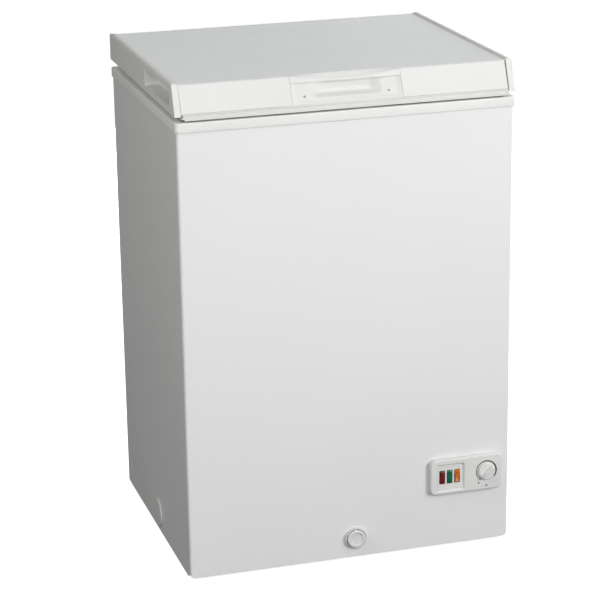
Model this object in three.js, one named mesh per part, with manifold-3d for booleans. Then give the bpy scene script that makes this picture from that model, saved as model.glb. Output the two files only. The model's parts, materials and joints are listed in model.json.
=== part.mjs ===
// A small chest freezer of about 100 litres, in millimetres, with +Z up and the front facing -Y.
// Inside the builder functions Y is 0 at the front panel's face and grows towards the back, and Z is 0 at
// the floor. The group at the end moves everything so that the origin is under the middle of the freezer.
import * as THREE from "three";
import { mergeVertices } from "three/addons/utils/BufferGeometryUtils.js";
import Module from "manifold-3d";

const wasm = await Module();
wasm.setup();

// ---------------------------------------------------------------- driving dimensions

// Cabinet
const WIDTH = 570; // over the steel side panels
const DEPTH = 470; // front panel's face to rear panel's face
const BASE_Z = 8; // underside of the cabinet
const RIM_Z = 790; // top of the plastic collar, where the gasket seals
const SHEET = 1; // steel panels
const GAP = 0.3; // clearance between neighbouring pieces
const BEND = 5; // outside radius of the cabinet's upright corners
const RETURN = 12; // how far the front and rear panels wrap round the sides
const BOTTOM_CORNER = 10; // radius of the front panel's two bottom corners
const PANEL_TOP = 786; // top edge of the panels, inside the collar's skirt
const PAN = { bottom: 10, top: 11.5, corner: 16 };
const FOOT = { x: 235, front: 40, rear: 430, radius: 19, stem: 4.7 };

// Collar round the top, and the food compartment's opening in it
const COLLAR = { proud: 2.3, skirtZ: 774, top: 3, wall: 2.5, ledge: 8, ledgeZ: 776.5, lipZ: 764 };
const OPENING = { x: 228, y: 177, corner: 30 }; // half sizes and corner radius

// Food liner: a deep part on the left and a raised floor over the compressor on the right
const LINER = { sheet: 2, floorZ: 68, stepX: 60, stepZ: 290, top: 772 };
const FOAM = { bottom: 12.1, top: 786.7 };
const COILS = { low: 350, high: 710, pocketLow: 330, pocketHigh: 730 };

// Compressor compartment, bottom right
const BAY = { x: 100, top: 240 };
const BAY_OPENING = { x0: 104, x1: 268, z0: 24, z1: 232 }; // in the rear panel
const COMPRESSOR = { x: 192, y: 290, z: 24, radius: 70, legX: 70, legY: 46 };
const DRIER = { x: 262, y: 120, radius: 9, pipe: 2.5 };
const COVER = { edge: 10, sheet: 1.5, slots: 9, slotX0: 130, slotX1: 246, slotZ: 62, pitch: 18, slot: 7 };
const GLAND = { x: 114, z: 40, radius: 8, bore: 4, flange: 13, inside: 462 };

// Drain
const DRAIN = { x: 6.3, z: 43.5, y: 95, outer: 10.3, bore: 7.5, bend: 16 };

// Side port plugs
const PORT = { y: 218, z: 42, flange: 25, neck: 20, proud: 4 };

// Control panel on the front
const BEZEL = { x0: 139.5, x1: 268.5, z0: 105, z1: 168, corner: 8, proud: 10, wall: 2.5, round: 3 };
const WINDOW = { x0: 152.5, x1: 198.5, z0: 112, z1: 157.5, step: 2, stepDepth: 1 };
const LAMP = { z: 135.5, halfX: 4.85, halfZ: 12.1, front: -9.2, back: 6, clear: 0.35 };
const LAMP_X = { red: 161, green: 174.5, rocker: 188 };
const CARRIER = { front: -7.2, back: -5.2 };
const ROCKER = { y: -2, radius: 12.1, tilt: 6, ends: 7.5, middle: 6, back: 5 };
const KNOB = {
  x: 240.8, z: 139, radius: 15.3, back: -10.4, face: -14.4, grip: -20, gripWidth: 7,
  restTurn: 45, // degrees, from the grip bar standing upright to its stop at the lower left
};
const HOUSING = { x0: 144, x1: 264, z0: 109, z1: 164, front: 1.3, back: 48, wall: 2 };
const SHAFT = { radius: 3, front: -12.5, back: 13.7 };
const THERMOSTAT = { half: 18, front: 14, back: 45 };

// Lid, measured up from the lid's own underside
const LID_Z = 795;
const LID = { top: 52.5, capTop: 55, seam: 8.8, rear: 471.7, slantY: 17.2, slantZ: 51.2, skin: 2 };
const LID_FRAME = {
  x: 277, front: -2, rear: 471, corner: 6, lip: -2.2, holeX: 216, holeFront: 51, holeRear: 419,
};
const CAP = {
  inner: 276.6, outer: 287, lip: 3.2, lipDrop: 1.2, frontLow: 4.5, rearLow: 8.5, grooveRight: 2.2,
};
const GRIP = { z0: 16, z1: 44, front: 32, deepFrom: 42, end: 205, wallX: 262, bossX: 259, wall: 4 };
const HANDLE = { x: 93, rear: 28, block: 34, seam: 0.4, setBack: 3.6, lipZ: 41.5, scoop: 7.5 };
const POCKET = { x: 59, z0: 20, rear: 30, hookY: 20, hookZ: 44.5 };
const SCREW = { x: 71, z: 20.5, radius: 1.8, shank: 1.1 };
const GASKET = { x: 273.5, front: 3.5, rear: 466.5, width: 16, low: -4.7, high: -0.3 };

// Hinges behind the cabinet
const HINGE = { x: 170, y: 484, z: 793, radius: 8, knuckle: 7.5, pin: 3, bore: 3.3, half: 15, ear: 3 };

// Wire basket, as its outer shape
const BASKET = { x0: -214, x1: -30, y0: 71, y1: 399, z0: 600, z1: 780.8, rim: 4, corner: 20, hook: 11 };

const HALF = WIDTH / 2;
const MID_Y = DEPTH / 2;
const RIGHT_ANGLE = Math.PI / 2;
const ARC_STEPS = 2; // each quarter circle of an outline gets twice as many chords
const MERGE = 1e-3;

// ---------------------------------------------------------------- solids

// A closed three.js geometry as a solid that can be joined and cut.
function solid(geometry) {
  const bare = geometry.index ? geometry.toNonIndexed() : geometry.clone();
  bare.deleteAttribute("normal");
  bare.deleteAttribute("uv");
  const merged = mergeVertices(bare, MERGE);
  const vertProperties = merged.attributes.position.array;
  const triVerts = new Uint32Array(merged.index.array);
  return new wasm.Manifold(new wasm.Mesh({ numProp: 3, vertProperties, triVerts }));
}

function geometryOf(made) {
  const { vertProperties, triVerts } = made.getMesh();
  const geometry = new THREE.BufferGeometry();
  geometry.setAttribute("position", new THREE.BufferAttribute(vertProperties, 3));
  geometry.setIndex(new THREE.BufferAttribute(triVerts, 1));
  geometry.computeVertexNormals();
  return geometry;
}

function joined(...solids) {
  return solids.reduce((a, b) => a.add(b));
}

function cut(from, ...solids) {
  return solids.reduce((a, b) => a.subtract(b), from);
}

function extruded(shape, depth, curveSegments = ARC_STEPS) {
  return new THREE.ExtrudeGeometry(shape, { depth, bevelEnabled: false, curveSegments });
}

// An outline drawn in X and Y, raised from z0 to z1.
function raised(shape, z0, z1) {
  return solid(extruded(shape, z1 - z0).translate(0, 0, z0));
}

// An outline drawn in X and Z, running from y0 back to y1.
function alongY(shape, y0, y1) {
  return solid(extruded(shape, y1 - y0).rotateX(RIGHT_ANGLE).translate(0, y1, 0));
}

// An outline drawn in Y and Z, running from x0 to x1.
const YZ_TO_XYZ = new THREE.Matrix4().makeBasis(
  new THREE.Vector3(0, 1, 0),
  new THREE.Vector3(0, 0, 1),
  new THREE.Vector3(1, 0, 0),
);

function alongX(shape, x0, x1) {
  return solid(extruded(shape, x1 - x0).applyMatrix4(YZ_TO_XYZ).translate(x0, 0, 0));
}

function box(x0, x1, y0, y1, z0, z1) {
  const geometry = new THREE.BoxGeometry(x1 - x0, y1 - y0, z1 - z0);
  return solid(geometry.translate((x0 + x1) / 2, (y0 + y1) / 2, (z0 + z1) / 2));
}

// Round bars along each axis. The centre is given by the other two coordinates, in X, Y, Z order.
function barX(y, z, radius, x0, x1, sides = 20) {
  const geometry = new THREE.CylinderGeometry(radius, radius, x1 - x0, sides);
  return solid(geometry.rotateZ(RIGHT_ANGLE).translate((x0 + x1) / 2, y, z));
}

function barY(x, z, radius, y0, y1, sides = 20) {
  const geometry = new THREE.CylinderGeometry(radius, radius, y1 - y0, sides);
  return solid(geometry.translate(x, (y0 + y1) / 2, z));
}

function barZ(x, y, radius, z0, z1, sides = 20) {
  const geometry = new THREE.CylinderGeometry(radius, radius, z1 - z0, sides);
  return solid(geometry.rotateX(RIGHT_ANGLE).translate(x, y, (z0 + z1) / 2));
}

// Turned pieces: each profile point is [radius, distance along the axis].
function turned(profile, sides) {
  const points = profile.map(([radius, along]) => new THREE.Vector2(radius, along));
  return new THREE.LatheGeometry(points, sides);
}

function turnedY(profile, sides, x, z) {
  return solid(turned(profile, sides).translate(x, 0, z));
}

function turnedZ(profile, sides, x, y) {
  return solid(turned(profile, sides).rotateX(RIGHT_ANGLE).translate(x, y, 0));
}

// ---------------------------------------------------------------- outlines

function outline(points) {
  return new THREE.Shape(points.map(([u, v]) => new THREE.Vector2(u, v)));
}

function roundRect(u0, u1, v0, v1, r, Kind = THREE.Shape) {
  const shape = new Kind();
  shape.moveTo(u0 + r, v0);
  shape.lineTo(u1 - r, v0);
  shape.absarc(u1 - r, v0 + r, r, -RIGHT_ANGLE, 0);
  shape.lineTo(u1, v1 - r);
  shape.absarc(u1 - r, v1 - r, r, 0, RIGHT_ANGLE);
  shape.lineTo(u0 + r, v1);
  shape.absarc(u0 + r, v1 - r, r, RIGHT_ANGLE, Math.PI);
  shape.lineTo(u0, v0 + r);
  shape.absarc(u0 + r, v0 + r, r, Math.PI, Math.PI + RIGHT_ANGLE);
  return shape;
}

// The cabinet's outside in plan, grown or shrunk by an offset.
function shellOutline(offset, corner = BEND + offset) {
  return roundRect(-HALF - offset, HALF + offset, -offset, DEPTH + offset, corner);
}

// The food compartment's opening in plan, grown or shrunk by an offset.
function openingOutline(offset, Kind = THREE.Shape) {
  const x = OPENING.x + offset;
  const y = OPENING.y + offset;
  return roundRect(-x, x, MID_Y - y, MID_Y + y, OPENING.corner + offset, Kind);
}

// Inside face of the food liner, as an offset from the opening: it hangs behind the collar's inner lip.
const LINER_IN = COLLAR.wall + GAP - COLLAR.ledge;
const LINER_OUT = LINER_IN + LINER.sheet;

// The liner's deep left part in plan.
function deepOutline(offset) {
  const x = OPENING.x + offset;
  const y = OPENING.y + offset;
  const right = LINER.stepX + offset - LINER_IN;
  return roundRect(-x, right, MID_Y - y, MID_Y + y, OPENING.corner + offset);
}

function withHole(shape, hole) {
  shape.holes.push(hole);
  return shape;
}

// ---------------------------------------------------------------- tubes

// A path through given points, which lands on each of them when it is divided into as many steps.
class PointPath extends THREE.Curve {
  constructor(points) {
    super();
    this.points = points;
  }

  getPointAt(t, target = new THREE.Vector3()) {
    const at = t * (this.points.length - 1);
    const i = Math.min(Math.floor(at + MERGE), this.points.length - 2);
    return target.copy(this.points[i]).lerp(this.points[i + 1], at - i);
  }

  getTangentAt(t, target = new THREE.Vector3()) {
    const at = Math.round(t * (this.points.length - 1));
    const before = this.points[Math.max(at - 1, 0)];
    const after = this.points[Math.min(at + 1, this.points.length - 1)];
    return target.copy(after).sub(before).normalize();
  }
}

// Straight runs between corners, with each corner rounded to a bend radius.
function bentPath(corners, bend, steps = 4) {
  const at = corners.map((c) => new THREE.Vector3(...c));
  const points = [at[0]];
  for (let i = 1; i < at.length - 1; i++) {
    const back = at[i - 1].clone().sub(at[i]).normalize();
    const ahead = at[i + 1].clone().sub(at[i]).normalize();
    const half = back.angleTo(ahead) / 2;
    const along = bend / Math.tan(half);
    const centreWay = back.clone().add(ahead).normalize();
    const centre = at[i].clone().addScaledVector(centreWay, bend / Math.sin(half));
    const start = at[i].clone().addScaledVector(back, along).sub(centre);
    const end = at[i].clone().addScaledVector(ahead, along).sub(centre);
    const axis = start.clone().cross(end).normalize();
    const sweep = start.angleTo(end);
    for (let k = 0; k <= steps; k++) {
      points.push(start.clone().applyAxisAngle(axis, (sweep * k) / steps).add(centre));
    }
  }
  points.push(at[at.length - 1]);
  return new PointPath(points);
}

// Turns of a coil that follow a rounded rectangle while they climb.
function coilPath(halfX, halfY, corner, z0, z1, turns, steps = 3) {
  const points = [];
  const corners = [[1, -1], [1, 1], [-1, 1], [-1, -1]];
  const perTurn = corners.length * (steps + 1);
  for (let i = 0; i < turns * perTurn; i++) {
    const side = Math.floor(i / (steps + 1)) % corners.length;
    const angle = RIGHT_ANGLE * (side - 1 + (i % (steps + 1)) / steps);
    const [sx, sy] = corners[side];
    const x = sx * (halfX - corner) + corner * Math.cos(angle);
    const y = MID_Y + sy * (halfY - corner) + corner * Math.sin(angle);
    points.push(new THREE.Vector3(x, y, z0 + ((z1 - z0) * i) / (turns * perTurn)));
  }
  return new PointPath(points);
}

function tube(path, radius, sides, bore = 0) {
  const section = new THREE.Shape().absarc(0, 0, radius, 0, 2 * Math.PI);
  if (bore) section.holes.push(new THREE.Path().absarc(0, 0, bore, 0, 2 * Math.PI));
  const steps = path.points.length - 1;
  const options = { steps, extrudePath: path, curveSegments: sides / 2 };
  return solid(new THREE.ExtrudeGeometry(section, options));
}

// ---------------------------------------------------------------- steel shell

// A sheet that covers one end face and wraps round both upright corners, drawn for the front.
function wrapOutline() {
  const inner = HALF - SHEET;
  const centre = HALF - BEND;
  const shape = new THREE.Shape();
  shape.moveTo(-HALF, RETURN);
  shape.lineTo(-HALF, BEND);
  shape.absarc(-centre, BEND, BEND, Math.PI, Math.PI + RIGHT_ANGLE);
  shape.absarc(centre, BEND, BEND, -RIGHT_ANGLE, 0);
  shape.lineTo(HALF, RETURN);
  shape.lineTo(inner, RETURN);
  shape.absarc(centre, BEND, BEND - SHEET, 0, -RIGHT_ANGLE, true);
  shape.absarc(-centre, BEND, BEND - SHEET, Math.PI + RIGHT_ANGLE, Math.PI, true);
  shape.lineTo(-inner, RETURN);
  return shape;
}

function frontPanel() {
  const wrap = raised(wrapOutline(), BASE_Z, PANEL_TOP);
  // The face seen from the front: a rectangle with its two bottom corners rounded.
  const r = BOTTOM_CORNER;
  const face = new THREE.Shape();
  face.moveTo(-HALF + r, BASE_Z);
  face.lineTo(HALF - r, BASE_Z);
  face.absarc(HALF - r, BASE_Z + r, r, -RIGHT_ANGLE, 0);
  face.lineTo(HALF, PANEL_TOP);
  face.lineTo(-HALF, PANEL_TOP);
  face.lineTo(-HALF, BASE_Z + r);
  face.absarc(-HALF + r, BASE_Z + r, r, Math.PI, Math.PI + RIGHT_ANGLE);
  const rounded = wrap.intersect(alongY(face, -BEND, RETURN + BEND));
  const edge = 3;
  const controls = box(
    HOUSING.x0 + edge, HOUSING.x1 - edge, -BEND, BEND, HOUSING.z0 + edge, HOUSING.z1 - edge);
  return cut(rounded, controls, barY(DRAIN.x, DRAIN.z, 14, -BEND, BEND));
}

function rearPanel() {
  const wrap = extruded(wrapOutline(), PANEL_TOP - BASE_Z);
  const placed = solid(wrap.rotateZ(Math.PI).translate(0, DEPTH, BASE_Z));
  const { x0, x1, z0, z1 } = BAY_OPENING;
  return cut(placed, box(x0, x1, DEPTH - BEND, DEPTH + BEND, z0, z1));
}

// The right panel has a row of air slots beside the compressor.
function sidePanel(side) {
  const outer = side * HALF;
  const inner = side * (HALF - SHEET);
  const [x0, x1] = [Math.min(outer, inner), Math.max(outer, inner)];
  const edge = RETURN + GAP;
  const sheet = box(x0, x1, edge, DEPTH - edge, BASE_Z, PANEL_TOP);
  const port = barX(PORT.y, PORT.z, PORT.neck + 0.4, x0 - 1, x1 + 1);
  if (side < 0) return cut(sheet, port);
  const slots = Array.from({ length: 7 }, (_, i) =>
    box(x0 - 1, x1 + 1, 290 + 16 * i, 296 + 16 * i, 70, 170));
  return cut(sheet, port, ...slots);
}

function basePan() {
  const edge = SHEET + GAP;
  const shape = roundRect(-HALF + edge, HALF - edge, edge, DEPTH - edge, PAN.corner);
  const stems = footPlaces().map(([x, y]) => barZ(x, y, FOOT.stem + GAP, 0, 20, 16));
  return cut(raised(shape, PAN.bottom, PAN.top), ...stems);
}

function footPlaces() {
  return [[-FOOT.x, FOOT.front], [FOOT.x, FOOT.front], [-FOOT.x, FOOT.rear], [FOOT.x, FOOT.rear]];
}

function foot([x, y]) {
  const top = PAN.bottom - GAP;
  const profile = [
    [0, 0], [FOOT.radius - 2, 0], [FOOT.radius, 3], [FOOT.radius, top],
    [FOOT.stem, top], [FOOT.stem, PAN.top + GAP], [0, PAN.top + GAP],
  ];
  return turnedZ(profile, 16, x, y);
}

function portPlug(side) {
  const { flange, neck, proud, y, z } = PORT;
  const profile = [
    [0, -SHEET], [neck, -SHEET], [neck, GAP], [flange, GAP],
    [flange, proud - 2], [flange - 2, proud], [0, proud],
  ];
  const turn = turned(profile, 24).rotateZ(-side * RIGHT_ANGLE);
  return solid(turn.translate(side * HALF, y, z));
}

// ---------------------------------------------------------------- collar, liner and insulation

// An upside-down channel: a skirt over the panels, a flat rim, and a stepped lip inside the opening.
function topCollar() {
  const between = (outer, inner, z0, z1) =>
    raised(withHole(openingOutline(outer), openingOutline(inner, THREE.Path)), z0, z1);
  const rim = cut(
    raised(shellOutline(COLLAR.proud), COLLAR.skirtZ, RIM_Z),
    raised(shellOutline(GAP), COLLAR.skirtZ - 1, RIM_Z - COLLAR.top),
    raised(openingOutline(0), COLLAR.skirtZ - 1, RIM_Z + 1),
  );
  const under = COLLAR.ledgeZ - COLLAR.wall;
  const inner = between(COLLAR.wall, 0, under, RIM_Z);
  const ledge = between(COLLAR.wall, -COLLAR.ledge, under, COLLAR.ledgeZ);
  const lip = between(COLLAR.wall - COLLAR.ledge, -COLLAR.ledge, COLLAR.lipZ, COLLAR.ledgeZ);
  return joined(rim, inner, ledge, lip);
}

function innerLiner() {
  const { sheet, floorZ, stepZ, top } = LINER;
  const outside = joined(
    raised(openingOutline(LINER_OUT), stepZ - sheet, top),
    raised(deepOutline(LINER_OUT), floorZ - sheet, stepZ),
  );
  return cut(
    outside,
    raised(openingOutline(LINER_IN), stepZ, top + 1),
    raised(deepOutline(LINER_IN), floorZ, stepZ + 1),
    barZ(DRAIN.x, DRAIN.y, DRAIN.bore, floorZ - 5, floorZ + 5, 16),
  );
}

function cabinetFoam() {
  const edge = -SHEET - GAP;
  const { sheet, floorZ, stepZ } = LINER;
  const shoulder = COLLAR.ledgeZ - COLLAR.wall - GAP;
  const low = raised(shellOutline(edge), FOAM.bottom, shoulder);
  const high = cut(
    raised(shellOutline(edge), shoulder - 1, FOAM.top),
    raised(openingOutline(COLLAR.wall + GAP), shoulder - 2, RIM_Z),
  );
  const around = LINER_OUT + GAP;
  const outerPocket = cut(
    raised(shellOutline(1), COILS.pocketLow, COILS.pocketHigh),
    raised(shellOutline(edge - 8, 14), COILS.pocketLow - 1, COILS.pocketHigh + 1),
  );
  return cut(
    joined(low, high),
    raised(openingOutline(around), stepZ - sheet - GAP, RIM_Z),
    raised(deepOutline(around), floorZ - sheet - GAP, stepZ),
    raised(openingOutline(LINER_OUT + 12), COILS.pocketLow, COILS.pocketHigh),
    outerPocket,
    box(BAY.x, HALF, -1, DEPTH + 1, 0, BAY.top),
    tube(drainPath(-1), DRAIN.outer + 0.5, 12),
    barZ(DRAIN.x, DRAIN.y, DRAIN.outer + 0.5, DRAIN.z + DRAIN.bend, floorZ),
    barY(DRAIN.x, DRAIN.z, 14.2, -1, 23),
  );
}

function evaporatorCoil() {
  const offset = LINER_OUT + 5;
  const corner = OPENING.corner + offset;
  return tube(coilPath(OPENING.x + offset, OPENING.y + offset, corner, COILS.low, COILS.high, 5), 4, 8);
}

function condenserCoil() {
  const inset = SHEET + 3.5;
  return tube(coilPath(HALF - inset, MID_Y - inset, 20, COILS.low, COILS.high, 5), 2.5, 6);
}

// ---------------------------------------------------------------- drain

function drainPath(front) {
  const { x, y, z, bend } = DRAIN;
  const top = LINER.floorZ - LINER.sheet - 0.4;
  return bentPath([[x, front, z], [x, y, z], [x, y, top]], bend);
}

function drainSocket() {
  const profile = [
    [10.6, -4.3], [15.2, -4.3], [15.2, -1.8], [17.1, -1.8], [17.1, -6.2], [17.8, -6.2], [18.2, -5.8],
    [18.2, -GAP], [13.6, -GAP], [13.6, 22], [10.6, 22], [10.6, -4.3],
  ];
  return turnedY(profile, 24, DRAIN.x, DRAIN.z);
}

// A push-in cap with a raised rim round a sunk middle.
function drainCap() {
  const profile = [
    [0, -7.2], [10.3, -7.2], [11.3, -9.2], [15.2, -9.2], [16, -8.4], [16, -4.7], [10.2, -4.7],
    [10.2, 6], [0, 6],
  ];
  return turnedY(profile, 24, DRAIN.x, DRAIN.z);
}

function drainStopper() {
  const floor = LINER.floorZ + GAP;
  const profile = [
    [0, floor - 8], [6.4, floor - 8], [6.4, floor], [13, floor], [13, floor + 3],
    [5, floor + 4.5], [5, floor + 11], [0, floor + 12],
  ];
  return turnedZ(profile, 16, DRAIN.x, DRAIN.y);
}

// ---------------------------------------------------------------- compressor compartment

// A hermetic can of two pressed shells welded at a flange, with its foot plate welded underneath.
function compressorShell() {
  const { x, y, z, radius: r, legX, legY } = COMPRESSOR;
  const profile = [
    [0, z], [r - 24, z], [r - 8, z + 10], [r, z + 30], [r, z + 86], [r + 4, z + 86], [r + 4, z + 93],
    [r, z + 93], [r, z + 126], [r - 7, z + 152], [r - 28, z + 170], [0, z + 176],
  ];
  const plate = raised(roundRect(x - 84, x + 84, y - 60, y + 60, 14), z, z + 3);
  const holes = [[-1, -1], [1, -1], [-1, 1], [1, 1]].map(([sx, sy]) =>
    barZ(x + sx * legX, y + sy * legY, 9, z - 5, z + 8, 16));
  return joined(cut(plate, ...holes), turnedZ(profile, 24, x, y));
}

// A rubber bush in each hole of the foot plate, standing on the base pan.
function grommet(sx, sy) {
  const { x, y, z, legX, legY } = COMPRESSOR;
  const under = z - GAP;
  const over = z + 3 + GAP;
  const profile = [
    [4, PAN.top + GAP], [14, PAN.top + GAP], [14, under], [8.6, under], [8.6, over],
    [12, over], [12, over + 4], [4, over + 4], [4, PAN.top + GAP],
  ];
  return turnedZ(profile, 12, x + sx * legX, y + sy * legY);
}

function relayCover() {
  const { x, y, radius } = COMPRESSOR;
  const cover = alongY(roundRect(x - 25, x + 25, 78, 148, 6), y - 114, y - 60);
  return cut(cover, barZ(x, y, radius + 4.8, 50, 170, 32));
}

// A pipe that leaves the can at an angle in plan and then climbs to the top of the compartment.
function risingPipe(angle, z, radius, reach) {
  const { x, y, radius: r } = COMPRESSOR;
  const from = r + 1;
  const ways = [from, from + reach].map((d) => [x + d * Math.cos(angle), y + d * Math.sin(angle), z]);
  const [ex, ey] = ways[1];
  return tube(bentPath([ways[0], ways[1], [ex, ey, BAY.top - 1]], 9), radius, 8);
}

function filterDrier() {
  const { x, y, radius, pipe } = DRIER;
  const profile = [
    [0, 52], [pipe, 52], [pipe, 60], [radius, 68], [radius, 140], [pipe, 148], [pipe, 156], [0, 156],
  ];
  return turnedZ(profile, 12, x, y);
}

function compressorCover() {
  const { x0, x1, z0, z1 } = BAY_OPENING;
  const { edge, sheet, slots, slotX0, slotX1, slotZ, pitch, slot } = COVER;
  const back = DEPTH + GAP + sheet;
  const plate = alongY(roundRect(x0 - edge, x1 + edge, z0 - edge, z1 + edge, 5), DEPTH + GAP, back);
  const vents = Array.from({ length: slots }, (_, i) =>
    box(slotX0, slotX1, DEPTH - 2, back + 2, slotZ + i * pitch, slotZ + i * pitch + slot));
  return cut(plate, ...vents, barY(GLAND.x, GLAND.z, GLAND.radius + GAP, DEPTH - 2, back + 2, 16));
}

function cableGland() {
  const face = DEPTH + COVER.sheet + 2 * GAP;
  const { x, z, radius, bore, flange, inside } = GLAND;
  const profile = [
    [bore, inside], [radius, inside], [radius, face], [flange, face], [flange, face + 2.5],
    [flange - 4, face + 5], [bore, face + 5], [bore, inside],
  ];
  return turnedY(profile, 16, x, z);
}

// ---------------------------------------------------------------- controls

function controlBezel() {
  const { x0, x1, z0, z1, corner, proud, wall, round } = BEZEL;
  const options = {
    depth: 2 * proud, bevelThickness: round, bevelSize: round, bevelOffset: -round,
    bevelSegments: 2, curveSegments: ARC_STEPS,
  };
  const pillow = new THREE.ExtrudeGeometry(roundRect(x0, x1, z0, z1, corner), options);
  // The rounded front edge lands at the bezel's face, and the back half is cut away.
  const block = solid(pillow.rotateX(RIGHT_ANGLE).translate(0, proud + round, 0));
  const { x0: wx0, x1: wx1, z0: wz0, z1: wz1, step, stepDepth } = WINDOW;
  const stepped = roundRect(wx0 - step, wx1 + step, wz0 - step, wz1 + step, 3);
  return cut(
    block,
    box(x0 - 1, x1 + 1, -GAP, 3 * proud, z0 - 1, z1 + 1),
    alongY(roundRect(x0 + wall, x1 - wall, z0 + wall, z1 - wall, corner - wall), wall - proud, 1),
    alongY(stepped, -2 * proud, stepDepth - proud),
    alongY(roundRect(wx0, wx1, wz0, wz1, 2), -2 * proud, 1),
    barY(KNOB.x, KNOB.z, SHAFT.radius + 1.5, -2 * proud, 1),
  );
}

function lampOpening(x, clear, y0, y1) {
  const { z, halfX, halfZ } = LAMP;
  const shape = roundRect(x - halfX - clear, x + halfX + clear, z - halfZ - clear, z + halfZ + clear, 2);
  return alongY(shape, y0, y1);
}

function indicatorCarrier() {
  const { x0, x1, z0, z1 } = WINDOW;
  const edge = 3;
  const shape = roundRect(x0 - edge, x1 + edge, z0 - edge, z1 + edge, 2);
  const plate = alongY(shape, CARRIER.front, CARRIER.back);
  const openings = Object.values(LAMP_X).map((x) =>
    lampOpening(x, LAMP.clear, CARRIER.front - 1, CARRIER.back + 1));
  return cut(plate, ...openings);
}

function lampLens(x) {
  return lampOpening(x, 0, LAMP.front, LAMP.back);
}

// A rocker whose ends lie on a circle round its pivot, with a shallow V across its face.
function rocker() {
  const { radius, ends, middle, back } = ROCKER;
  const section = outline([
    [-ends, radius], [-middle, 0], [-ends, -radius], [back, -radius], [back, radius],
  ]);
  const bar = alongX(section, -LAMP.halfX, LAMP.halfX);
  return bar.intersect(barX(0, 0, radius, -LAMP.halfX, LAMP.halfX, 28));
}

function controlHousing() {
  const { x0, x1, z0, z1, front, back, wall } = HOUSING;
  const clear = 2;
  return cut(
    box(x0, x1, front, back, z0, z1),
    box(x0 + wall, x1 - wall, front + wall, back + 1, z0 + wall, z1 - wall),
    box(LAMP_X.red - LAMP.halfX - clear, LAMP_X.rocker + LAMP.halfX + clear, front - 1, front + wall + 1,
      LAMP.z - LAMP.halfZ - clear, LAMP.z + LAMP.halfZ + clear),
    barY(KNOB.x, KNOB.z, SHAFT.radius + 1.5, front - 1, front + wall + 1),
  );
}

function thermostatBody() {
  const { half, front, back } = THERMOSTAT;
  const { x, z } = KNOB;
  return alongY(roundRect(x - half, x + half, z - half, z + half, 3), front, back);
}

function thermostatShaft() {
  return barY(KNOB.x, KNOB.z, SHAFT.radius, SHAFT.front, SHAFT.back, 16);
}

// A disc with a bar to grip across it, made round its own axis and turned to its stop when it is placed.
function thermostatKnob() {
  const { radius, back, face, grip, gripWidth } = KNOB;
  const disc = turnedY(
    [[0, face], [radius - 1.5, face], [radius, face + 1.5], [radius, back], [0, back]], 32, 0, 0);
  const handle = box(-gripWidth / 2, gripWidth / 2, grip, face + 1, -radius, radius);
  const bar = handle.intersect(barY(0, 0, radius - 0.5, grip - 1, 0, 32));
  const pointer = box(-0.8, 0.8, grip - 1, grip + 0.8, -radius, -radius / 2);
  const bore = barY(0, 0, SHAFT.radius + GAP, SHAFT.front - GAP, 0, 16);
  return cut(joined(disc, bar), pointer, bore);
}

// ---------------------------------------------------------------- lid

// Front profile of the lid: the face leans back from the seam to a softened top edge.
function slantAt(z) {
  return -1 + ((z - LID.seam) * (LID.slantY + 1)) / (LID.slantZ - LID.seam);
}

function frontFascia(x0, x1) {
  const { seam, slantY, slantZ, top, skin } = LID;
  const join = slantY + 4;
  return alongX(outline([
    [-1, seam], [1.8, seam], [slantAt(top - skin - 1) + 2.8, top - skin - 1], [join, top - skin],
    [join, top], [slantY + 2, top], [slantY, slantZ],
  ]), x0, x1);
}

function lidTopPanel() {
  const edge = CAP.inner - 0.4;
  const plate = box(-edge, edge, LID.slantY + 4.4, 465.7, LID.top - LID.skin, LID.top);
  const handleX = HANDLE.x + HANDLE.seam;
  return cut(plate, box(-handleX, handleX, 0, HANDLE.rear + HANDLE.seam, 0, LID.capTop));
}

// A channel-shaped frame round the lid's lower edge: drip lip, flange, web and upper strip.
function lidFrame() {
  const { x, front, rear, corner, lip, holeX, holeFront, holeRear } = LID_FRAME;
  const ring = (inset, Kind) =>
    roundRect(-x + inset, x - inset, front + inset, rear - inset, Math.max(corner - inset, 1), Kind);
  const hole = roundRect(-holeX, holeX, holeFront, holeRear, 20, THREE.Path);
  const web = 5;
  return joined(
    box(corner - x, x - corner, front, front + 2, lip, 1),
    raised(withHole(ring(0), hole), 0, 2.5),
    raised(withHole(ring(3), ring(web, THREE.Path)), 2, 8.5),
    raised(withHole(ring(0.7), ring(web, THREE.Path)), 6, 8.5),
  );
}

// A side moulding with a long, deep hand grip sunk into it.
function endCap(side) {
  const { inner, outer, lip, lipDrop, frontLow, rearLow } = CAP;
  const { capTop, rear, slantY } = LID;
  const shape = new THREE.Shape();
  shape.moveTo(-1.5, frontLow);
  shape.lineTo(slantY - 3, 46);
  shape.quadraticCurveTo(slantY, capTop, slantY + 9, capTop);
  shape.lineTo(rear - 4, capTop);
  shape.quadraticCurveTo(rear, capTop, rear, capTop - 5);
  shape.lineTo(rear, rearLow);
  const plan = (points) => outline(points.map(([x, y]) => [side * x, y]));
  const span = (a, b) => [Math.min(side * a, side * b), Math.max(side * a, side * b)];
  const { z0, z1, front, deepFrom, end, wallX, bossX, wall } = GRIP;
  const palm = plan([
    [outer + 1, front], [wallX, deepFrom], [wallX, end], [outer + 1, end],
  ]);
  const hollow = raised(palm, z0, z1);
  const boss = box(...span(bossX, inner + 1), front, end + wall, z0 - wall, z1 + wall);
  const step = box(...span(inner - 1, inner + lip), -10, rear + 10, capTop - lipDrop, capTop + 1);
  return cut(joined(alongX(shape, ...span(inner, outer)), boss), hollow, step);
}

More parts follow.
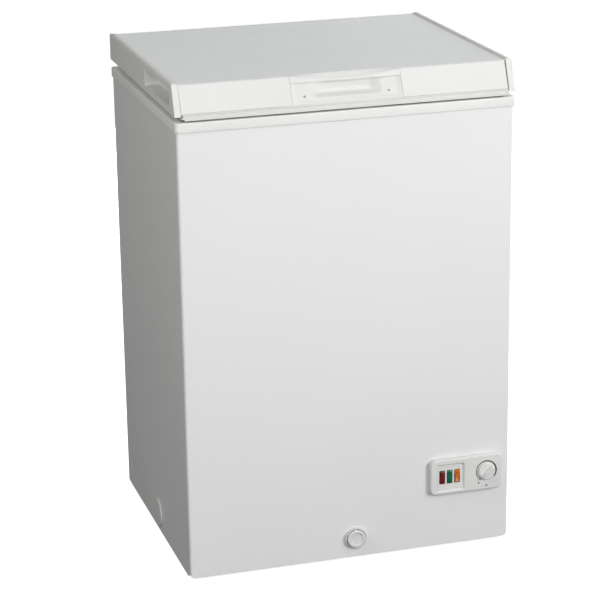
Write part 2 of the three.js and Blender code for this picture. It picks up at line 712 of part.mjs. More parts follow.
// The middle of the front: a lip to pull, a finger pocket under it and a scooped top edge.
function lidHandle() {
  const { x, rear, block: back, setBack, lipZ } = HANDLE;
  const { seam, slantY, slantZ, top } = LID;
  const block = alongX(outline([
    [-1, seam], [back, seam], [back, 44], [rear, 48], [rear, top], [slantY + 2, top], [slantY, slantZ],
  ]), -x, x);
  const sunk = alongX(outline([
    [-6, 10], [slantAt(10), 10], [slantAt(14) + setBack, 14], [slantAt(lipZ) + setBack, lipZ], [-6, lipZ],
  ]), -x - 1, x + 1);
  const { x: px, z0, rear: deep, hookY, hookZ } = POCKET;
  const holes = [-SCREW.x, SCREW.x].flatMap((sx) => [
    barY(sx, SCREW.z, SCREW.radius + GAP, -10, screwSeat() + GAP, 16),
    barY(sx, SCREW.z, SCREW.shank + GAP, 0, 40, 16),
  ]);
  return cut(
    block, sunk, handleScoop(), ...holes,
    box(-px, px, -10, deep, z0, lipZ),
    box(-px, px, hookY, deep, z0, hookZ),
  );
}

// A shallow arc across the lid, tipped so that it runs out at the handle's rear edge.
function handleScoop() {
  const { x, rear, scoop } = HANDLE;
  const radius = (x * x + scoop * scoop) / (2 * scoop);
  const reach = Math.asin(x / radius);
  const over = 30;
  const bowl = new THREE.Shape();
  bowl.absarc(0, radius - scoop, radius, -RIGHT_ANGLE - reach, -RIGHT_ANGLE + reach);
  bowl.lineTo(x, over);
  bowl.lineTo(-x, over);
  const level = extruded(bowl, 2 * rear, 8).rotateX(RIGHT_ANGLE).translate(0, rear - LID.slantY, 0);
  const slope = Math.atan2(scoop, rear - LID.slantY);
  return solid(level.rotateX(slope).translate(0, LID.slantY, LID.top));
}

// Where the underside of each handle screw's head bears, in Y.
function screwSeat() {
  return slantAt(SCREW.z) + HANDLE.setBack + 1.6;
}

function handleScrew(x) {
  const seat = screwSeat();
  const { radius, shank, z } = SCREW;
  const profile = [
    [0, seat - 2.6], [radius - 1, seat - 2.6], [radius, seat - 1.6], [radius, seat], [shank, seat],
    [shank, 31], [0, 32],
  ];
  return turnedY(profile, 16, x, z);
}

function lidRearRail() {
  const x = CAP.inner - 0.4;
  return box(-x, x, 466, LID.rear, LID.seam, LID.top);
}

function lidFoam() {
  const { seam, top, skin } = LID;
  const roof = top - skin - GAP;
  const rear = 465.7;
  const x = CAP.inner - 0.7;
  const slabX = LID_FRAME.x - 5.5;
  const slab = box(-slabX, slabX, 3.5, rear, 2.8, seam + 1);
  const inner = outline([[3.6, seam], [rear, seam], [rear, roof], [slantAt(roof) + 4.2, roof]]);
  const handleX = HANDLE.x + 0.7;
  const bosses = [-1, 1].map((side) => {
    const [near, far] = [side * (GRIP.bossX - GAP), side * (x + 5)];
    return box(Math.min(near, far), Math.max(near, far), GRIP.front - 1, GRIP.end + GRIP.wall + 1,
      GRIP.z0 - GRIP.wall - 1, GRIP.z1 + GRIP.wall + 1);
  });
  return cut(
    joined(slab, alongX(inner, -x, x)),
    box(-handleX, handleX, -1, HANDLE.block + 1, seam - GAP, LID.capTop),
    ...bosses,
  );
}

// The lid's moulded underside, a shallow tray that hangs a little way into the opening.
function lidInnerLiner() {
  const { holeX, holeFront, holeRear } = LID_FRAME;
  const rim = raised(roundRect(-holeX + GAP, holeX - GAP, holeFront + GAP, holeRear - GAP, 19.5), 0, 2);
  const tray = (inset, z0, z1) =>
    raised(roundRect(-185 + inset, 185 - inset, 82 + inset, 388 - inset, 24 - inset), z0, z1);
  return cut(joined(rim, tray(0, -8, 1)), tray(2, -6, 3));
}

function lidGasket() {
  const { x, front, rear, width, low, high } = GASKET;
  const outer = roundRect(-x, x, front, rear, 10);
  const hole = roundRect(-x + width, x - width, front + width, rear - width, 3, THREE.Path);
  return raised(withHole(outer, hole), low, high);
}

// ---------------------------------------------------------------- hinges

// A base plate on the cabinet's back with two cheeks that carry the pin.
function hingeBracket(x) {
  const { y, z, radius, bore, half, ear } = HINGE;
  const face = DEPTH + GAP;
  const clear = DEPTH + COLLAR.proud + 1;
  const plate = box(x - half - ear - 4, x + half + ear + 4, face, face + 3, 690, 765);
  const cheeks = [-1, 1].map((side) => {
    const edges = [x + side * (half + GAP), x + side * (half + ear)];
    const [x0, x1] = [Math.min(...edges), Math.max(...edges)];
    const shape = outline([
      [face + 1, 700], [face + 8, 706], [y + radius - 1, z], [clear, z], [clear, 768], [face + 1, 764],
    ]);
    return joined(alongX(shape, x0, x1), barX(y, z, radius, x0, x1, 24));
  });
  return cut(joined(plate, ...cheeks), barX(y, z, bore, x - 30, x + 30, 20));
}

// A plate on the lid's rear rail that ends in a knuckle round the pin.
function hingeLeaf(x) {
  const { y, z, knuckle, bore, half } = HINGE;
  const face = LID.rear + GAP;
  const low = z - LID_Z;
  const plate = outline([
    [face, 2], [y - 2, low + knuckle - 1], [face + 6, low + 12], [face + 3, low + 18], [face + 3, 46],
    [face, 46],
  ]);
  const neck = outline([[face, 2], [y - knuckle + 1, low - 1], [y, low + 2], [y - 2, low + knuckle - 0.6]]);
  const leaf = joined(
    alongX(plate, x - half, x + half), alongX(neck, x - half, x + half),
    barX(y, low, knuckle, x - half, x + half, 24));
  return cut(leaf, barX(y, low, bore, x - 30, x + 30, 20));
}

function hingePin(x) {
  const { y, z, pin, half, ear } = HINGE;
  const end = half + ear + 2;
  return barX(y, z, pin, x - end, x + end, 16);
}

// ---------------------------------------------------------------- basket

// The basket's outer shape: a tray whose rim hangs on the collar's ledge at the front and the back.
function basket() {
  const { x0, x1, y0, y1, z0, z1, rim, corner, hook } = BASKET;
  const tray = raised(roundRect(x0, x1, y0, y1, corner), z0, z1);
  const flange = raised(roundRect(x0, x1, y0 - hook, y1 + hook, corner), z1 - rim, z1);
  const inside = roundRect(x0 + rim, x1 - rim, y0 + rim, y1 - rim, corner - rim);
  return cut(joined(tray, flange), raised(inside, z0 + rim, z1 + 1));
}

// ---------------------------------------------------------------- finishes

const finish = (color, roughness, metalness = 0) => () =>
  new THREE.MeshStandardMaterial({ color, roughness, metalness });

const whiteSteel = finish(0xe9e9ea, 0.35, 0.1);
const whitePlastic = finish(0xe6e5e1, 0.45);
const warmPlastic = finish(0xe2ded8, 0.5);
const lidTop = finish(0xd5d9da, 0.35);
const linerSheet = finish(0xdfe2e3, 0.4, 0.3);
const galvanized = finish(0x9a9d9f, 0.45, 0.9);
const blackSteel = finish(0x1b1c1d, 0.4, 0.5);
const copper = finish(0xb5683f, 0.35, 1);
const aluminiumTube = finish(0xb9bcbf, 0.4, 1);
const insulation = finish(0xd9c79a, 0.9);
const rubber = finish(0x55595a, 0.8);
const blackPlastic = finish(0x222325, 0.5);
const redLens = finish(0x6e1411, 0.25);
const greenLens = finish(0x0f6b4b, 0.25);
const orangeRocker = finish(0xc4691a, 0.3);
const coatedWire = finish(0xf0f0ee, 0.4);
const zincPlate = finish(0xa9acb0, 0.35, 1);

// ---------------------------------------------------------------- assembly

const freezer = new THREE.Group();

// The origin lies under the middle of everything, from the knob's grip to the hinge cheeks.
const assembly = new THREE.Group();
assembly.position.y = -(KNOB.grip + HINGE.y + HINGE.radius) / 2;
freezer.add(assembly);

const cabinet = new THREE.Group();
const lid = new THREE.Group();
lid.position.z = LID_Z;
assembly.add(cabinet, lid);

function add(group, name, made, material) {
  const mesh = new THREE.Mesh(geometryOf(made), material());
  mesh.name = name;
  group.add(mesh);
  return mesh;
}

add(cabinet, "front_panel", frontPanel(), whiteSteel);
add(cabinet, "rear_panel", rearPanel(), whiteSteel);
add(cabinet, "left_side_panel", sidePanel(-1), whiteSteel);
add(cabinet, "right_side_panel", sidePanel(1), whiteSteel);
add(cabinet, "base_pan", basePan(), galvanized);
add(cabinet, "top_collar", topCollar(), warmPlastic);
add(cabinet, "inner_liner", innerLiner(), linerSheet);
add(cabinet, "cabinet_foam", cabinetFoam(), insulation);
add(cabinet, "evaporator_coil", evaporatorCoil(), aluminiumTube);
add(cabinet, "condenser_coil", condenserCoil(), copper);

const ENDS = ["front_left", "front_right", "rear_left", "rear_right"];
footPlaces().forEach((place, i) => add(cabinet, `foot_${ENDS[i]}`, foot(place), blackPlastic));
add(cabinet, "left_port_plug", portPlug(-1), whitePlastic);
add(cabinet, "right_port_plug", portPlug(1), whitePlastic);

add(cabinet, "compressor", compressorShell(), blackSteel);
[[-1, -1], [1, -1], [-1, 1], [1, 1]].forEach(([sx, sy], i) =>
  add(cabinet, `compressor_grommet_${ENDS[i]}`, grommet(sx, sy), rubber));
add(cabinet, "relay_cover", relayCover(), blackPlastic);
add(cabinet, "suction_pipe", risingPipe(0.75 * Math.PI, 140, 4, 24), copper);
add(cabinet, "discharge_pipe", risingPipe(0.25 * Math.PI, 80, 3, 24), copper);
add(cabinet, "filter_drier", filterDrier(), copper);
add(cabinet, "compressor_cover", compressorCover(), galvanized);
add(cabinet, "cable_gland", cableGland(), blackPlastic);

add(cabinet, "drain_socket", drainSocket(), whitePlastic);
add(cabinet, "drain_tube", tube(drainPath(8), DRAIN.outer, 12, DRAIN.bore), whitePlastic);
add(cabinet, "drain_cap", drainCap(), whitePlastic);
add(cabinet, "drain_stopper", drainStopper(), rubber);

add(cabinet, "control_bezel", controlBezel(), whitePlastic);
add(cabinet, "indicator_carrier", indicatorCarrier(), whitePlastic);
add(cabinet, "red_lamp_lens", lampLens(LAMP_X.red), redLens);
add(cabinet, "green_lamp_lens", lampLens(LAMP_X.green), greenLens);
const orange = add(cabinet, "fast_freeze_rocker", rocker(), orangeRocker);
orange.position.set(LAMP_X.rocker, ROCKER.y, LAMP.z);
orange.rotation.x = THREE.MathUtils.degToRad(ROCKER.tilt);
add(cabinet, "control_housing", controlHousing(), blackPlastic);
add(cabinet, "thermostat_body", thermostatBody(), zincPlate);
add(cabinet, "thermostat_shaft", thermostatShaft(), zincPlate);
const knob = add(cabinet, "thermostat_knob", thermostatKnob(), whitePlastic);
knob.position.set(KNOB.x, 0, KNOB.z);
knob.rotation.y = THREE.MathUtils.degToRad(KNOB.restTurn);

add(cabinet, "basket", basket(), coatedWire);

add(lid, "lid_top_panel", lidTopPanel(), lidTop);
add(lid, "lid_end_cap_left", endCap(-1), whitePlastic);
add(lid, "lid_end_cap_right", endCap(1), whitePlastic);
const fasciaIn = HANDLE.x + HANDLE.seam;
add(lid, "lid_front_fascia_left", frontFascia(-CAP.inner + 0.4, -fasciaIn), whitePlastic);
add(lid, "lid_front_fascia_right", frontFascia(fasciaIn, CAP.inner - CAP.grooveRight), whitePlastic);
add(lid, "lid_handle", lidHandle(), whitePlastic);
add(lid, "handle_screw_left", handleScrew(-SCREW.x), zincPlate);
add(lid, "handle_screw_right", handleScrew(SCREW.x), zincPlate);
add(lid, "lid_frame", lidFrame(), whitePlastic);
add(lid, "lid_rear_rail", lidRearRail(), whitePlastic);
add(lid, "lid_foam", lidFoam(), insulation);
add(lid, "lid_inner_liner", lidInnerLiner(), whitePlastic);
add(lid, "lid_gasket", lidGasket(), rubber);

[[-1, "left"], [1, "right"]].forEach(([side, end]) => {
  const x = side * HINGE.x;
  add(cabinet, `hinge_bracket_${end}`, hingeBracket(x), zincPlate);
  add(cabinet, `hinge_pin_${end}`, hingePin(x), zincPlate);
  add(lid, `hinge_leaf_${end}`, hingeLeaf(x), zincPlate);
});

export default freezer;
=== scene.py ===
"""The looks of a small chest freezer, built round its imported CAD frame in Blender.

Shapes are written in millimetres from the middle of the front panel's face at floor level, with +Y to the
back, and are turned into metres in the row's own frame when a mesh is made.
"""

import json
from math import copysign, cos, pi, radians, sin, sqrt, tan

import bmesh
import bpy
from mathutils import Matrix, Vector


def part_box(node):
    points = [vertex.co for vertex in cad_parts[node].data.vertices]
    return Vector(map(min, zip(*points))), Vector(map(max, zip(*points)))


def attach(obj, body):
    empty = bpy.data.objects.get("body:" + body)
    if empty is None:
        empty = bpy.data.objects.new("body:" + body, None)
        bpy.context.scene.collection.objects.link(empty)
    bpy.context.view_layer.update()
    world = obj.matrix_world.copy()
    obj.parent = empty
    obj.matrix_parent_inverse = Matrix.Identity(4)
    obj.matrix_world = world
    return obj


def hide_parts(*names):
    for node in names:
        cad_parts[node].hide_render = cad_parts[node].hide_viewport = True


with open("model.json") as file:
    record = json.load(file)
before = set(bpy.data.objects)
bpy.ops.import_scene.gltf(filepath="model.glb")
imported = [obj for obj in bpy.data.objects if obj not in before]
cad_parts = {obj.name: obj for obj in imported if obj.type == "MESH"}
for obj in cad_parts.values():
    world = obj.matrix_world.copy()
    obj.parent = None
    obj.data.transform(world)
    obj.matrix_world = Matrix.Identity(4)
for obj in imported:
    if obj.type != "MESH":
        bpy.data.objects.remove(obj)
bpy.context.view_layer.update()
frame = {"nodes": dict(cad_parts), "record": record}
MM = 0.001
ORIGIN = Vector((0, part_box("front_panel")[0].y, 0))


def box_mm(node):
    """A CAD node's lowest and highest corners, in this script's millimetres."""
    return [(corner - ORIGIN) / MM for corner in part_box(node)]


def middle(node):
    """The middle of a CAD node's box, in this script's millimetres."""
    low, high = box_mm(node)
    return (low + high) / 2


def spread(start, end, count):
    """Evenly spaced values from start to end."""
    return [start + (end - start) * i / (count - 1) for i in range(count)]


def turned(u, v, angle):
    """A point after a turn round the origin, in degrees from the first axis towards the second."""
    a = radians(angle)
    return (u * cos(a) - v * sin(a), u * sin(a) + v * cos(a))


def linked(name, data):
    """A new object in the scene that shows the data."""
    made = bpy.data.objects.new(name, data)
    bpy.context.scene.collection.objects.link(made)
    return made


# ---- camera

CAMERA_AT = (-1.077, -3.558, 1.585)
CAMERA_YAW, CAMERA_PITCH, CAMERA_ROLL = 16.61, 17.70, -0.85  # degrees: to the right, down, anticlockwise
CAMERA_LENS = 133.4


def make_camera():
    data = bpy.data.cameras.new("camera")
    data.lens = CAMERA_LENS
    data.sensor_width = 36
    camera = linked("camera", data)
    camera.matrix_world = Matrix.Translation(CAMERA_AT)
    for angle, axis in ((-CAMERA_YAW, "Z"), (90 - CAMERA_PITCH, "X"), (CAMERA_ROLL, "Z")):
        camera.matrix_world = camera.matrix_world @ Matrix.Rotation(radians(angle), 4, axis)
    bpy.context.scene.camera = camera


make_camera()

# ---- materials


class Look:
    """A node material that is built up round one Principled shader."""

    def __init__(self, name, color, roughness, metallic=0.0, coat=0.0):
        self.material = bpy.data.materials.new(name)
        self.material.use_nodes = True
        self.nodes = self.material.node_tree.nodes
        self.shader = self.nodes["Principled BSDF"]
        self.place = self.nodes.new("ShaderNodeTexCoord").outputs["Object"]
        self.color = (*color, 1)
        self.roughness = roughness
        self.normal = None
        self.fill(self.shader, {
            "Base Color": self.color, "Roughness": roughness, "Metallic": metallic, "Coat Weight": coat,
            "Coat Roughness": 0.12})

    def fill(self, node, inputs):
        """Sets a node's inputs to values, or links them to other nodes' outputs."""
        for name, value in inputs.items():
            if isinstance(value, bpy.types.NodeSocket):
                self.material.node_tree.links.new(value, node.inputs[name])
            else:
                node.inputs[name].default_value = value
        return node

    def node(self, kind, inputs):
        return self.fill(self.nodes.new("ShaderNode" + kind), inputs)

    def noise(self, scale, detail, stretch=None):
        """A cloud pattern, with scale in features per metre."""
        place = self.place
        if stretch:
            place = self.node("Mapping", {"Vector": place, "Scale": stretch}).outputs["Vector"]
        return self.node("TexNoise", {"Vector": place, "Scale": scale, "Detail": detail}).outputs["Fac"]

    def cells(self, scale):
        """A pattern of cells, each dark in its middle."""
        return self.node("TexVoronoi", {"Vector": self.place, "Scale": scale}).outputs["Distance"]

    def span(self, value, low, high, to_low, to_high):
        """Maps the values from low to high onto another range."""
        ends = {"From Min": low, "From Max": high, "To Min": to_low, "To Max": to_high}
        return self.node("MapRange", {"Value": value, **ends}).outputs["Result"]

    def tint(self, value, color, low, high, amount=1.0):
        """Mixes another colour in where the value is high."""
        mix = self.nodes.new("ShaderNodeMix")
        mix.data_type = "RGBA"
        share = self.span(value, low, high, 0.0, amount)
        self.fill(mix, {"Factor": share, "A": self.color, "B": (*color, 1)})
        self.color = mix.outputs["Result"]
        self.fill(self.shader, {"Base Color": self.color})

    def wear(self, value, swing, low=0.3, high=0.7):
        """Varies the roughness round its own value."""
        varied = self.span(value, low, high, self.roughness - swing, self.roughness + swing)
        self.fill(self.shader, {"Roughness": varied})

    def bump(self, value, depth_mm, strength):
        """Adds raised detail on top of what is there already."""
        bump = self.node("Bump", {"Height": value, "Distance": depth_mm * MM, "Strength": strength})
        if self.normal is not None:
            self.fill(bump, {"Normal": self.normal})
        self.normal = bump.outputs["Normal"]
        self.fill(self.shader, {"Normal": self.normal})


def shade(color, factor):
    """The colour, lighter or darker."""
    return tuple(min(1.0, c * factor) for c in color)


def enamel(name, color, roughness=0.34):
    """Powder-coated steel sheet: orange peel, a little waviness and a faint uneven tone."""
    look = Look(name, color, roughness, coat=0.25)
    look.tint(look.noise(2.2, 2), shade(color, 0.965), 0.4, 0.75)
    look.wear(look.noise(9, 5), 0.05)
    look.bump(look.noise(3.0, 1), 1.6, 0.12)
    look.bump(look.noise(420, 2), 0.05, 0.35)
    return look.material


def moulded(name, color, roughness, grain=1400):
    """Moulded plastic: a fine eroded grain, flow marks and a slightly uneven tone."""
    look = Look(name, color, roughness)
    look.fill(look.shader, {"Specular IOR Level": 0.35})
    look.tint(look.noise(5, 3, (1, 1, 2.5)), shade(color, 0.955), 0.42, 0.8)
    look.wear(look.noise(30, 6), 0.07)
    look.bump(look.noise(grain, 3), 0.035, 0.4)
    look.bump(look.noise(18, 2), 0.25, 0.12)
    return look.material


def worktop(name, color):
    """The lid's flat top: satin sheet with a fine stipple and faint handling marks."""
    look = Look(name, color, 0.42, coat=0.1)
    look.tint(look.noise(1.6, 3), shade(color, 0.955), 0.4, 0.8)
    look.tint(look.noise(60, 8, (1, 0.12, 1)), shade(color, 1.04), 0.55, 0.85, 0.5)
    look.wear(look.noise(14, 6), 0.08)
    look.bump(look.cells(900), 0.03, 0.3)
    look.bump(look.noise(2.4, 1), 1.2, 0.15)
    return look.material


def galvanized(name, color):
    """Zinc-coated sheet with its spangle."""
    look = Look(name, color, 0.42, metallic=0.85)
    look.tint(look.cells(160), shade(color, 0.72), 0.1, 0.8)
    look.wear(look.cells(120), 0.1, 0.0, 0.8)
    look.bump(look.noise(260, 3), 0.05, 0.3)
    return look.material


def plated(name, color, roughness=0.3):
    """Zinc-plated or drawn metal with fine drawing lines and a few dull spots."""
    look = Look(name, color, roughness, metallic=1.0)
    look.tint(look.noise(70, 5), shade(color, 0.8), 0.5, 0.8)
    look.wear(look.noise(900, 3, (1, 1, 0.05)), 0.1)
    look.bump(look.noise(1500, 2, (1, 1, 0.05)), 0.01, 0.4)
    return look.material


def rubbery(name, color, roughness=0.75):
    """Rubber or matt ink: a fine even grain with paler clouds."""
    look = Look(name, color, roughness)
    look.tint(look.noise(40, 5), shade(color, 1.25), 0.45, 0.85)
    look.wear(look.noise(90, 4), 0.1)
    look.bump(look.noise(1100, 4), 0.06, 0.5)
    return look.material


def foamed(name, color):
    """Cut polyurethane foam: open cells with browned skin in places."""
    look = Look(name, color, 0.95)
    look.tint(look.noise(14, 5), shade(color, 0.78), 0.4, 0.8)
    look.bump(look.cells(700), 0.5, 0.7)
    return look.material


def lens(name, color, dark):
    """Coloured translucent lamp window, with darker clouds through its colour and a fine grain."""
    look = Look(name, color, 0.22, coat=0.25)
    look.fill(look.shader, {"Subsurface Weight": 0.12, "Subsurface Radius": (0.004, 0.002, 0.001)})
    look.tint(look.noise(260, 4, (1, 1, 0.5)), dark, 0.38, 0.7)
    look.wear(look.noise(300, 4), 0.06)
    look.bump(look.noise(700, 2), 0.05, 0.35)
    return look.material


FINISHES = {
    "white_enamel": (enamel, (0.80, 0.80, 0.805)),
    "white_plastic": (moulded, (0.70, 0.70, 0.69), 0.55),
    "warm_plastic": (moulded, (0.765, 0.757, 0.743), 0.5),
    "lid_sheet": (worktop, (0.77, 0.793, 0.79)),
    "liner_sheet": (enamel, (0.74, 0.755, 0.76), 0.4),
    "galvanized_steel": (galvanized, (0.45, 0.46, 0.47)),
    "black_steel": (enamel, (0.018, 0.018, 0.02), 0.38),
    "copper": (plated, (0.55, 0.22, 0.10), 0.32),
    "aluminium_tube": (plated, (0.62, 0.63, 0.64), 0.38),
    "insulation": (foamed, (0.70, 0.56, 0.32)),
    "gray_rubber": (rubbery, (0.075, 0.08, 0.072)),
    "black_plastic": (moulded, (0.022, 0.022, 0.024), 0.5, 900),
    "red_lens": (lens, (0.165, 0.008, 0.004), (0.04, 0.002, 0.002)),
    "green_lens": (lens, (0.008, 0.17, 0.085), (0.003, 0.045, 0.022)),
    "orange_plastic": (lens, (0.72, 0.20, 0.02), (0.42, 0.09, 0.008)),
    "coated_wire": (moulded, (0.80, 0.80, 0.79), 0.35, 2200),
    "zinc_plate": (plated, (0.50, 0.51, 0.53)),
}
MATERIALS = {name: make(name, *values) for name, (make, *values) in FINISHES.items()}
INK = rubbery("dial_ink", (0.03, 0.03, 0.035), 0.45)
GREY_INK = rubbery("grey_ink", (0.20, 0.21, 0.21), 0.5)
PAINTED_SCREW = moulded("painted_screw", (0.52, 0.52, 0.50), 0.4)
CAD_SLOTS = {s["node"]: s["material_slot"] for s in frame["record"]["subparts"]}

# ---- meshes


def place(point):
    """A point of this script in the frame's metres."""
    return ORIGIN + Vector(point) * MM


def loft(name, rings, closed=False):
    """Skins rings that all hold as many points. Ends are capped, or the last ring meets the first."""
    count = len(rings[0])
    last = len(rings) if closed else len(rings) - 1
    faces = []
    for i in range(last):
        a, b = i * count, ((i + 1) % len(rings)) * count
        for k in range(count):
            n = (k + 1) % count
            faces.append((a + k, a + n, b + n, b + k))
    if not closed:
        faces += [tuple(range(count)), tuple(range(last * count, (last + 1) * count))]
    mesh = bpy.data.meshes.new(name)
    mesh.from_pydata([place(point) for ring in rings for point in ring], [], faces)
    work = bmesh.new()
    work.from_mesh(mesh)
    bmesh.ops.remove_doubles(work, verts=work.verts, dist=1e-6)
    bmesh.ops.recalc_face_normals(work, faces=work.faces)
    work.to_mesh(mesh)
    work.free()
    return linked(name, mesh)


AXES = {"X": lambda u, v, w: (w, u, v), "Y": lambda u, v, w: (u, w, v), "Z": lambda u, v, w: (u, v, w)}


def prism(name, outline, axis, start, end):
    """An outline in the other two axes, in X, Y, Z order, that runs from start to end along an axis."""
    to_point = AXES[axis]
    return loft(name, [[to_point(u, v, w) for u, v in outline] for w in sorted((start, end))])


def circle(cx, cy, radius, sides):
    """Points all the way round a circle."""
    angles = [2 * pi * k / sides for k in range(sides)]
    return [(cx + radius * cos(a), cy + radius * sin(a)) for a in angles]


def revolved(name, profile, axis, centre, sides=64, closed=False):
    """Turns a profile of (radius, distance along the axis) round an axis. A closed one goes round a hole."""
    to_point = AXES[axis]
    rings = []
    for radius, along in profile:
        rings.append([to_point(u, v, along) for u, v in circle(*centre, max(radius, 1e-3), sides)])
    return loft(name, rings, closed)


def arc(cx, cy, radius, start, end, steps):
    """Points on a circle from one angle to another, in degrees."""
    angles = [radians(angle) for angle in spread(start, end, steps + 1)]
    return [(cx + radius * cos(a), cy + radius * sin(a)) for a in angles]


def round_rect(u0, u1, v0, v1, radius, steps=8):
    """A rectangle's outline with rounded corners."""
    radius = max(radius, 0.01)
    left, right, low, high = u0 + radius, u1 - radius, v0 + radius, v1 - radius
    corners = ((right, low, -90), (right, high, 0), (left, high, 90), (left, low, 180))
    return [point for u, v, a in corners for point in arc(u, v, radius, a, a + 90, steps)]


def plan_ring(half_x, y0, y1, radius, z):
    """A rounded rectangle in plan, at a height."""
    return [(x, y, z) for x, y in round_rect(-half_x, half_x, y0, y1, radius)]


def bar(name, points, radius, closed=False):
    """A round bar along points, as a mesh."""
    curve = bpy.data.curves.new(name, "CURVE")
    curve.dimensions = "3D"
    curve.bevel_depth = radius * MM
    curve.bevel_resolution = 2
    curve.use_fill_caps = not closed
    spline = curve.splines.new("POLY")
    spline.points.add(len(points) - 1)
    for target, point in zip(spline.points, points):
        target.co = (*place(point), 1)
    spline.use_cyclic_u = closed
    return as_mesh(linked(name, curve))


def as_mesh(obj):
    """The object with its curve or modifiers turned into a plain mesh."""
    bpy.context.view_layer.update()
    evaluated = obj.evaluated_get(bpy.context.evaluated_depsgraph_get())
    mesh = bpy.data.meshes.new_from_object(evaluated)
    name = obj.name
    bpy.data.objects.remove(obj)
    return linked(name, mesh)


def joined(name, pieces):
    """Several meshes as one object."""
    work = bmesh.new()
    for one in pieces:
        work.from_mesh(one.data)
        bpy.data.objects.remove(one)
    mesh = bpy.data.meshes.new(name)
    work.to_mesh(mesh)
    work.free()
    return linked(name, mesh)


def boolean(obj, others, operation="DIFFERENCE"):
    """Cuts the others out of an object, joins them to it, or keeps what they share."""
    for other in others:
        step = obj.modifiers.new("step", "BOOLEAN")
        step.object = other
        step.operation = operation
        step.solver = "EXACT"
    made = as_mesh(obj)
    for other in others:
        bpy.data.objects.remove(other)
    return made


def softened(obj, width, segments, angle):
    """Rounds the edges that are sharper than an angle."""
    edge = obj.modifiers.new("soften", "BEVEL")
    edge.width = width * MM
    edge.segments = segments
    edge.limit_method = "ANGLE"
    edge.angle_limit = radians(angle)
    return edge


def finish(obj, body, slot, replaces=(), soften=0.0, segments=3, angle=28, material=None):
    """Gives a mesh its material, its softened edges and its place in the frame."""
    obj.data.materials.clear()
    obj.data.materials.append(material or MATERIALS[slot])
    for face in obj.data.polygons:
        face.use_smooth = True
    if soften:
        edge = softened(obj, soften, segments, angle)
        edge.harden_normals = True
        edge.miter_outer = "MITER_ARC"
    else:
        obj.data.set_sharp_from_angle(angle=radians(angle))
    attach(obj, body)
    if replaces:
        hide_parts(*replaces)


# ---- sizes

FRONT_BOX = box_mm("front_panel")
HALF = FRONT_BOX[1].x
DEPTH = box_mm("rear_panel")[1].y
BASE = FRONT_BOX[0].z
PANEL_TOP = FRONT_BOX[1].z
RIM = box_mm("top_collar")[1].z
SEAL_DROP = 0.3  # the gasket hangs this far below the lid's underside
LID = box_mm("lid_gasket")[1].z + SEAL_DROP
MID_Y = DEPTH / 2
BEND = 5
RETURN = 12
SHEET = 1
OPENING_X, OPENING_Y, OPENING_R = 228, 177, 30


def shell_ring(offset, z):
    """The cabinet's outside in plan, grown by an offset."""
    return plan_ring(HALF + offset, -offset, DEPTH + offset, BEND + offset, z)


def opening_ring(offset, z):
    """The food compartment's mouth in plan, grown by an offset."""
    x, y = OPENING_X + offset, OPENING_Y + offset
    return plan_ring(x, MID_Y - y, MID_Y + y, OPENING_R + offset, z)


def filleted(corners, steps=6):
    """An outline whose corners (u, v, radius) are rounded."""
    points = []
    for i, (u, v, radius) in enumerate(corners):
        here = Vector((u, v))
        if not radius:
            points.append((u, v))
            continue
        before = (Vector(corners[i - 1][:2]) - here).normalized()
        after = (Vector(corners[(i + 1) % len(corners)][:2]) - here).normalized()
        half = before.angle(after) / 2
        along = radius / tan(half)
        centre = here + (before + after).normalized() * radius / sin(half)
        start, end = here + before * along - centre, here + after * along - centre
        sweep = start.angle_signed(end)
        for angle in spread(0, -sweep, steps + 1):
            points.append(tuple(centre + Matrix.Rotation(angle, 2) @ start))
    return points


def smooth_step(value, start, end):
    """Rises smoothly from 0 at the start to 1 at the end."""
    t = min(1.0, max(0.0, (value - start) / (end - start)))
    return t * t * (3 - 2 * t)


def quarter_turn(count):
    """(1 - cosine, sine) from 0 to 90 degrees, for a rounded edge."""
    return [(1 - cos(a), sin(a)) for a in spread(0, pi / 2, count)]


# ---- steel shell


def wrap_outline():
    """A sheet over one end face that wraps round both upright corners."""
    inner, centre, inside = HALF - SHEET, HALF - BEND, BEND - SHEET
    outer_line = arc(-centre, BEND, BEND, 180, 270, 10) + arc(centre, BEND, BEND, 270, 360, 10)
    inner_line = arc(centre, BEND, inside, 0, -90, 10) + arc(-centre, BEND, inside, -90, -180, 10)
    edge = [(HALF, RETURN), (inner, RETURN)]
    return [(-HALF, RETURN)] + outer_line + edge + inner_line + [(-inner, RETURN)]


def front_panel():
    """The front sheet, with its lower corners rounded and holes for the drain and the control panel."""
    sheet = prism("steel_front", wrap_outline(), "Z", BASE, PANEL_TOP)
    corner, drain_radius, inset = 10, 14, 8
    face = filleted([
        (-HALF, BASE, corner), (HALF, BASE, corner), (HALF, PANEL_TOP, 0), (-HALF, PANEL_TOP, 0)], 8)
    rounded = boolean(sheet, [prism("face", face, "Y", -BEND, RETURN + BEND)], "INTERSECT")
    drain = prism("hole", circle(DRAIN_X, DRAIN_Z, drain_radius, 60), "Y", -BEND, BEND)
    x0, x1, z0, z1 = BEZEL
    controls = prism("hole2", round_rect(x0 + inset, x1 - inset, z0 + inset, z1 - inset, 3), "Y", -BEND, BEND)
    finish(boolean(rounded, [drain, controls]), "cabinet", "white_enamel", ["front_panel"], 0.3, 2, 40)


def rear_panel():
    """The back sheet, with an opening to the compressor's bay."""
    outline = [(-x, DEPTH - y) for x, y in wrap_outline()]
    sheet = prism("steel_back", outline, "Z", BASE, PANEL_TOP)
    bay = prism("hole", round_rect(*BAY, 3), "Y", DEPTH - BEND, DEPTH + BEND)
    finish(boolean(sheet, [bay]), "cabinet", "white_enamel", ["rear_panel"], 0.3, 2, 40)


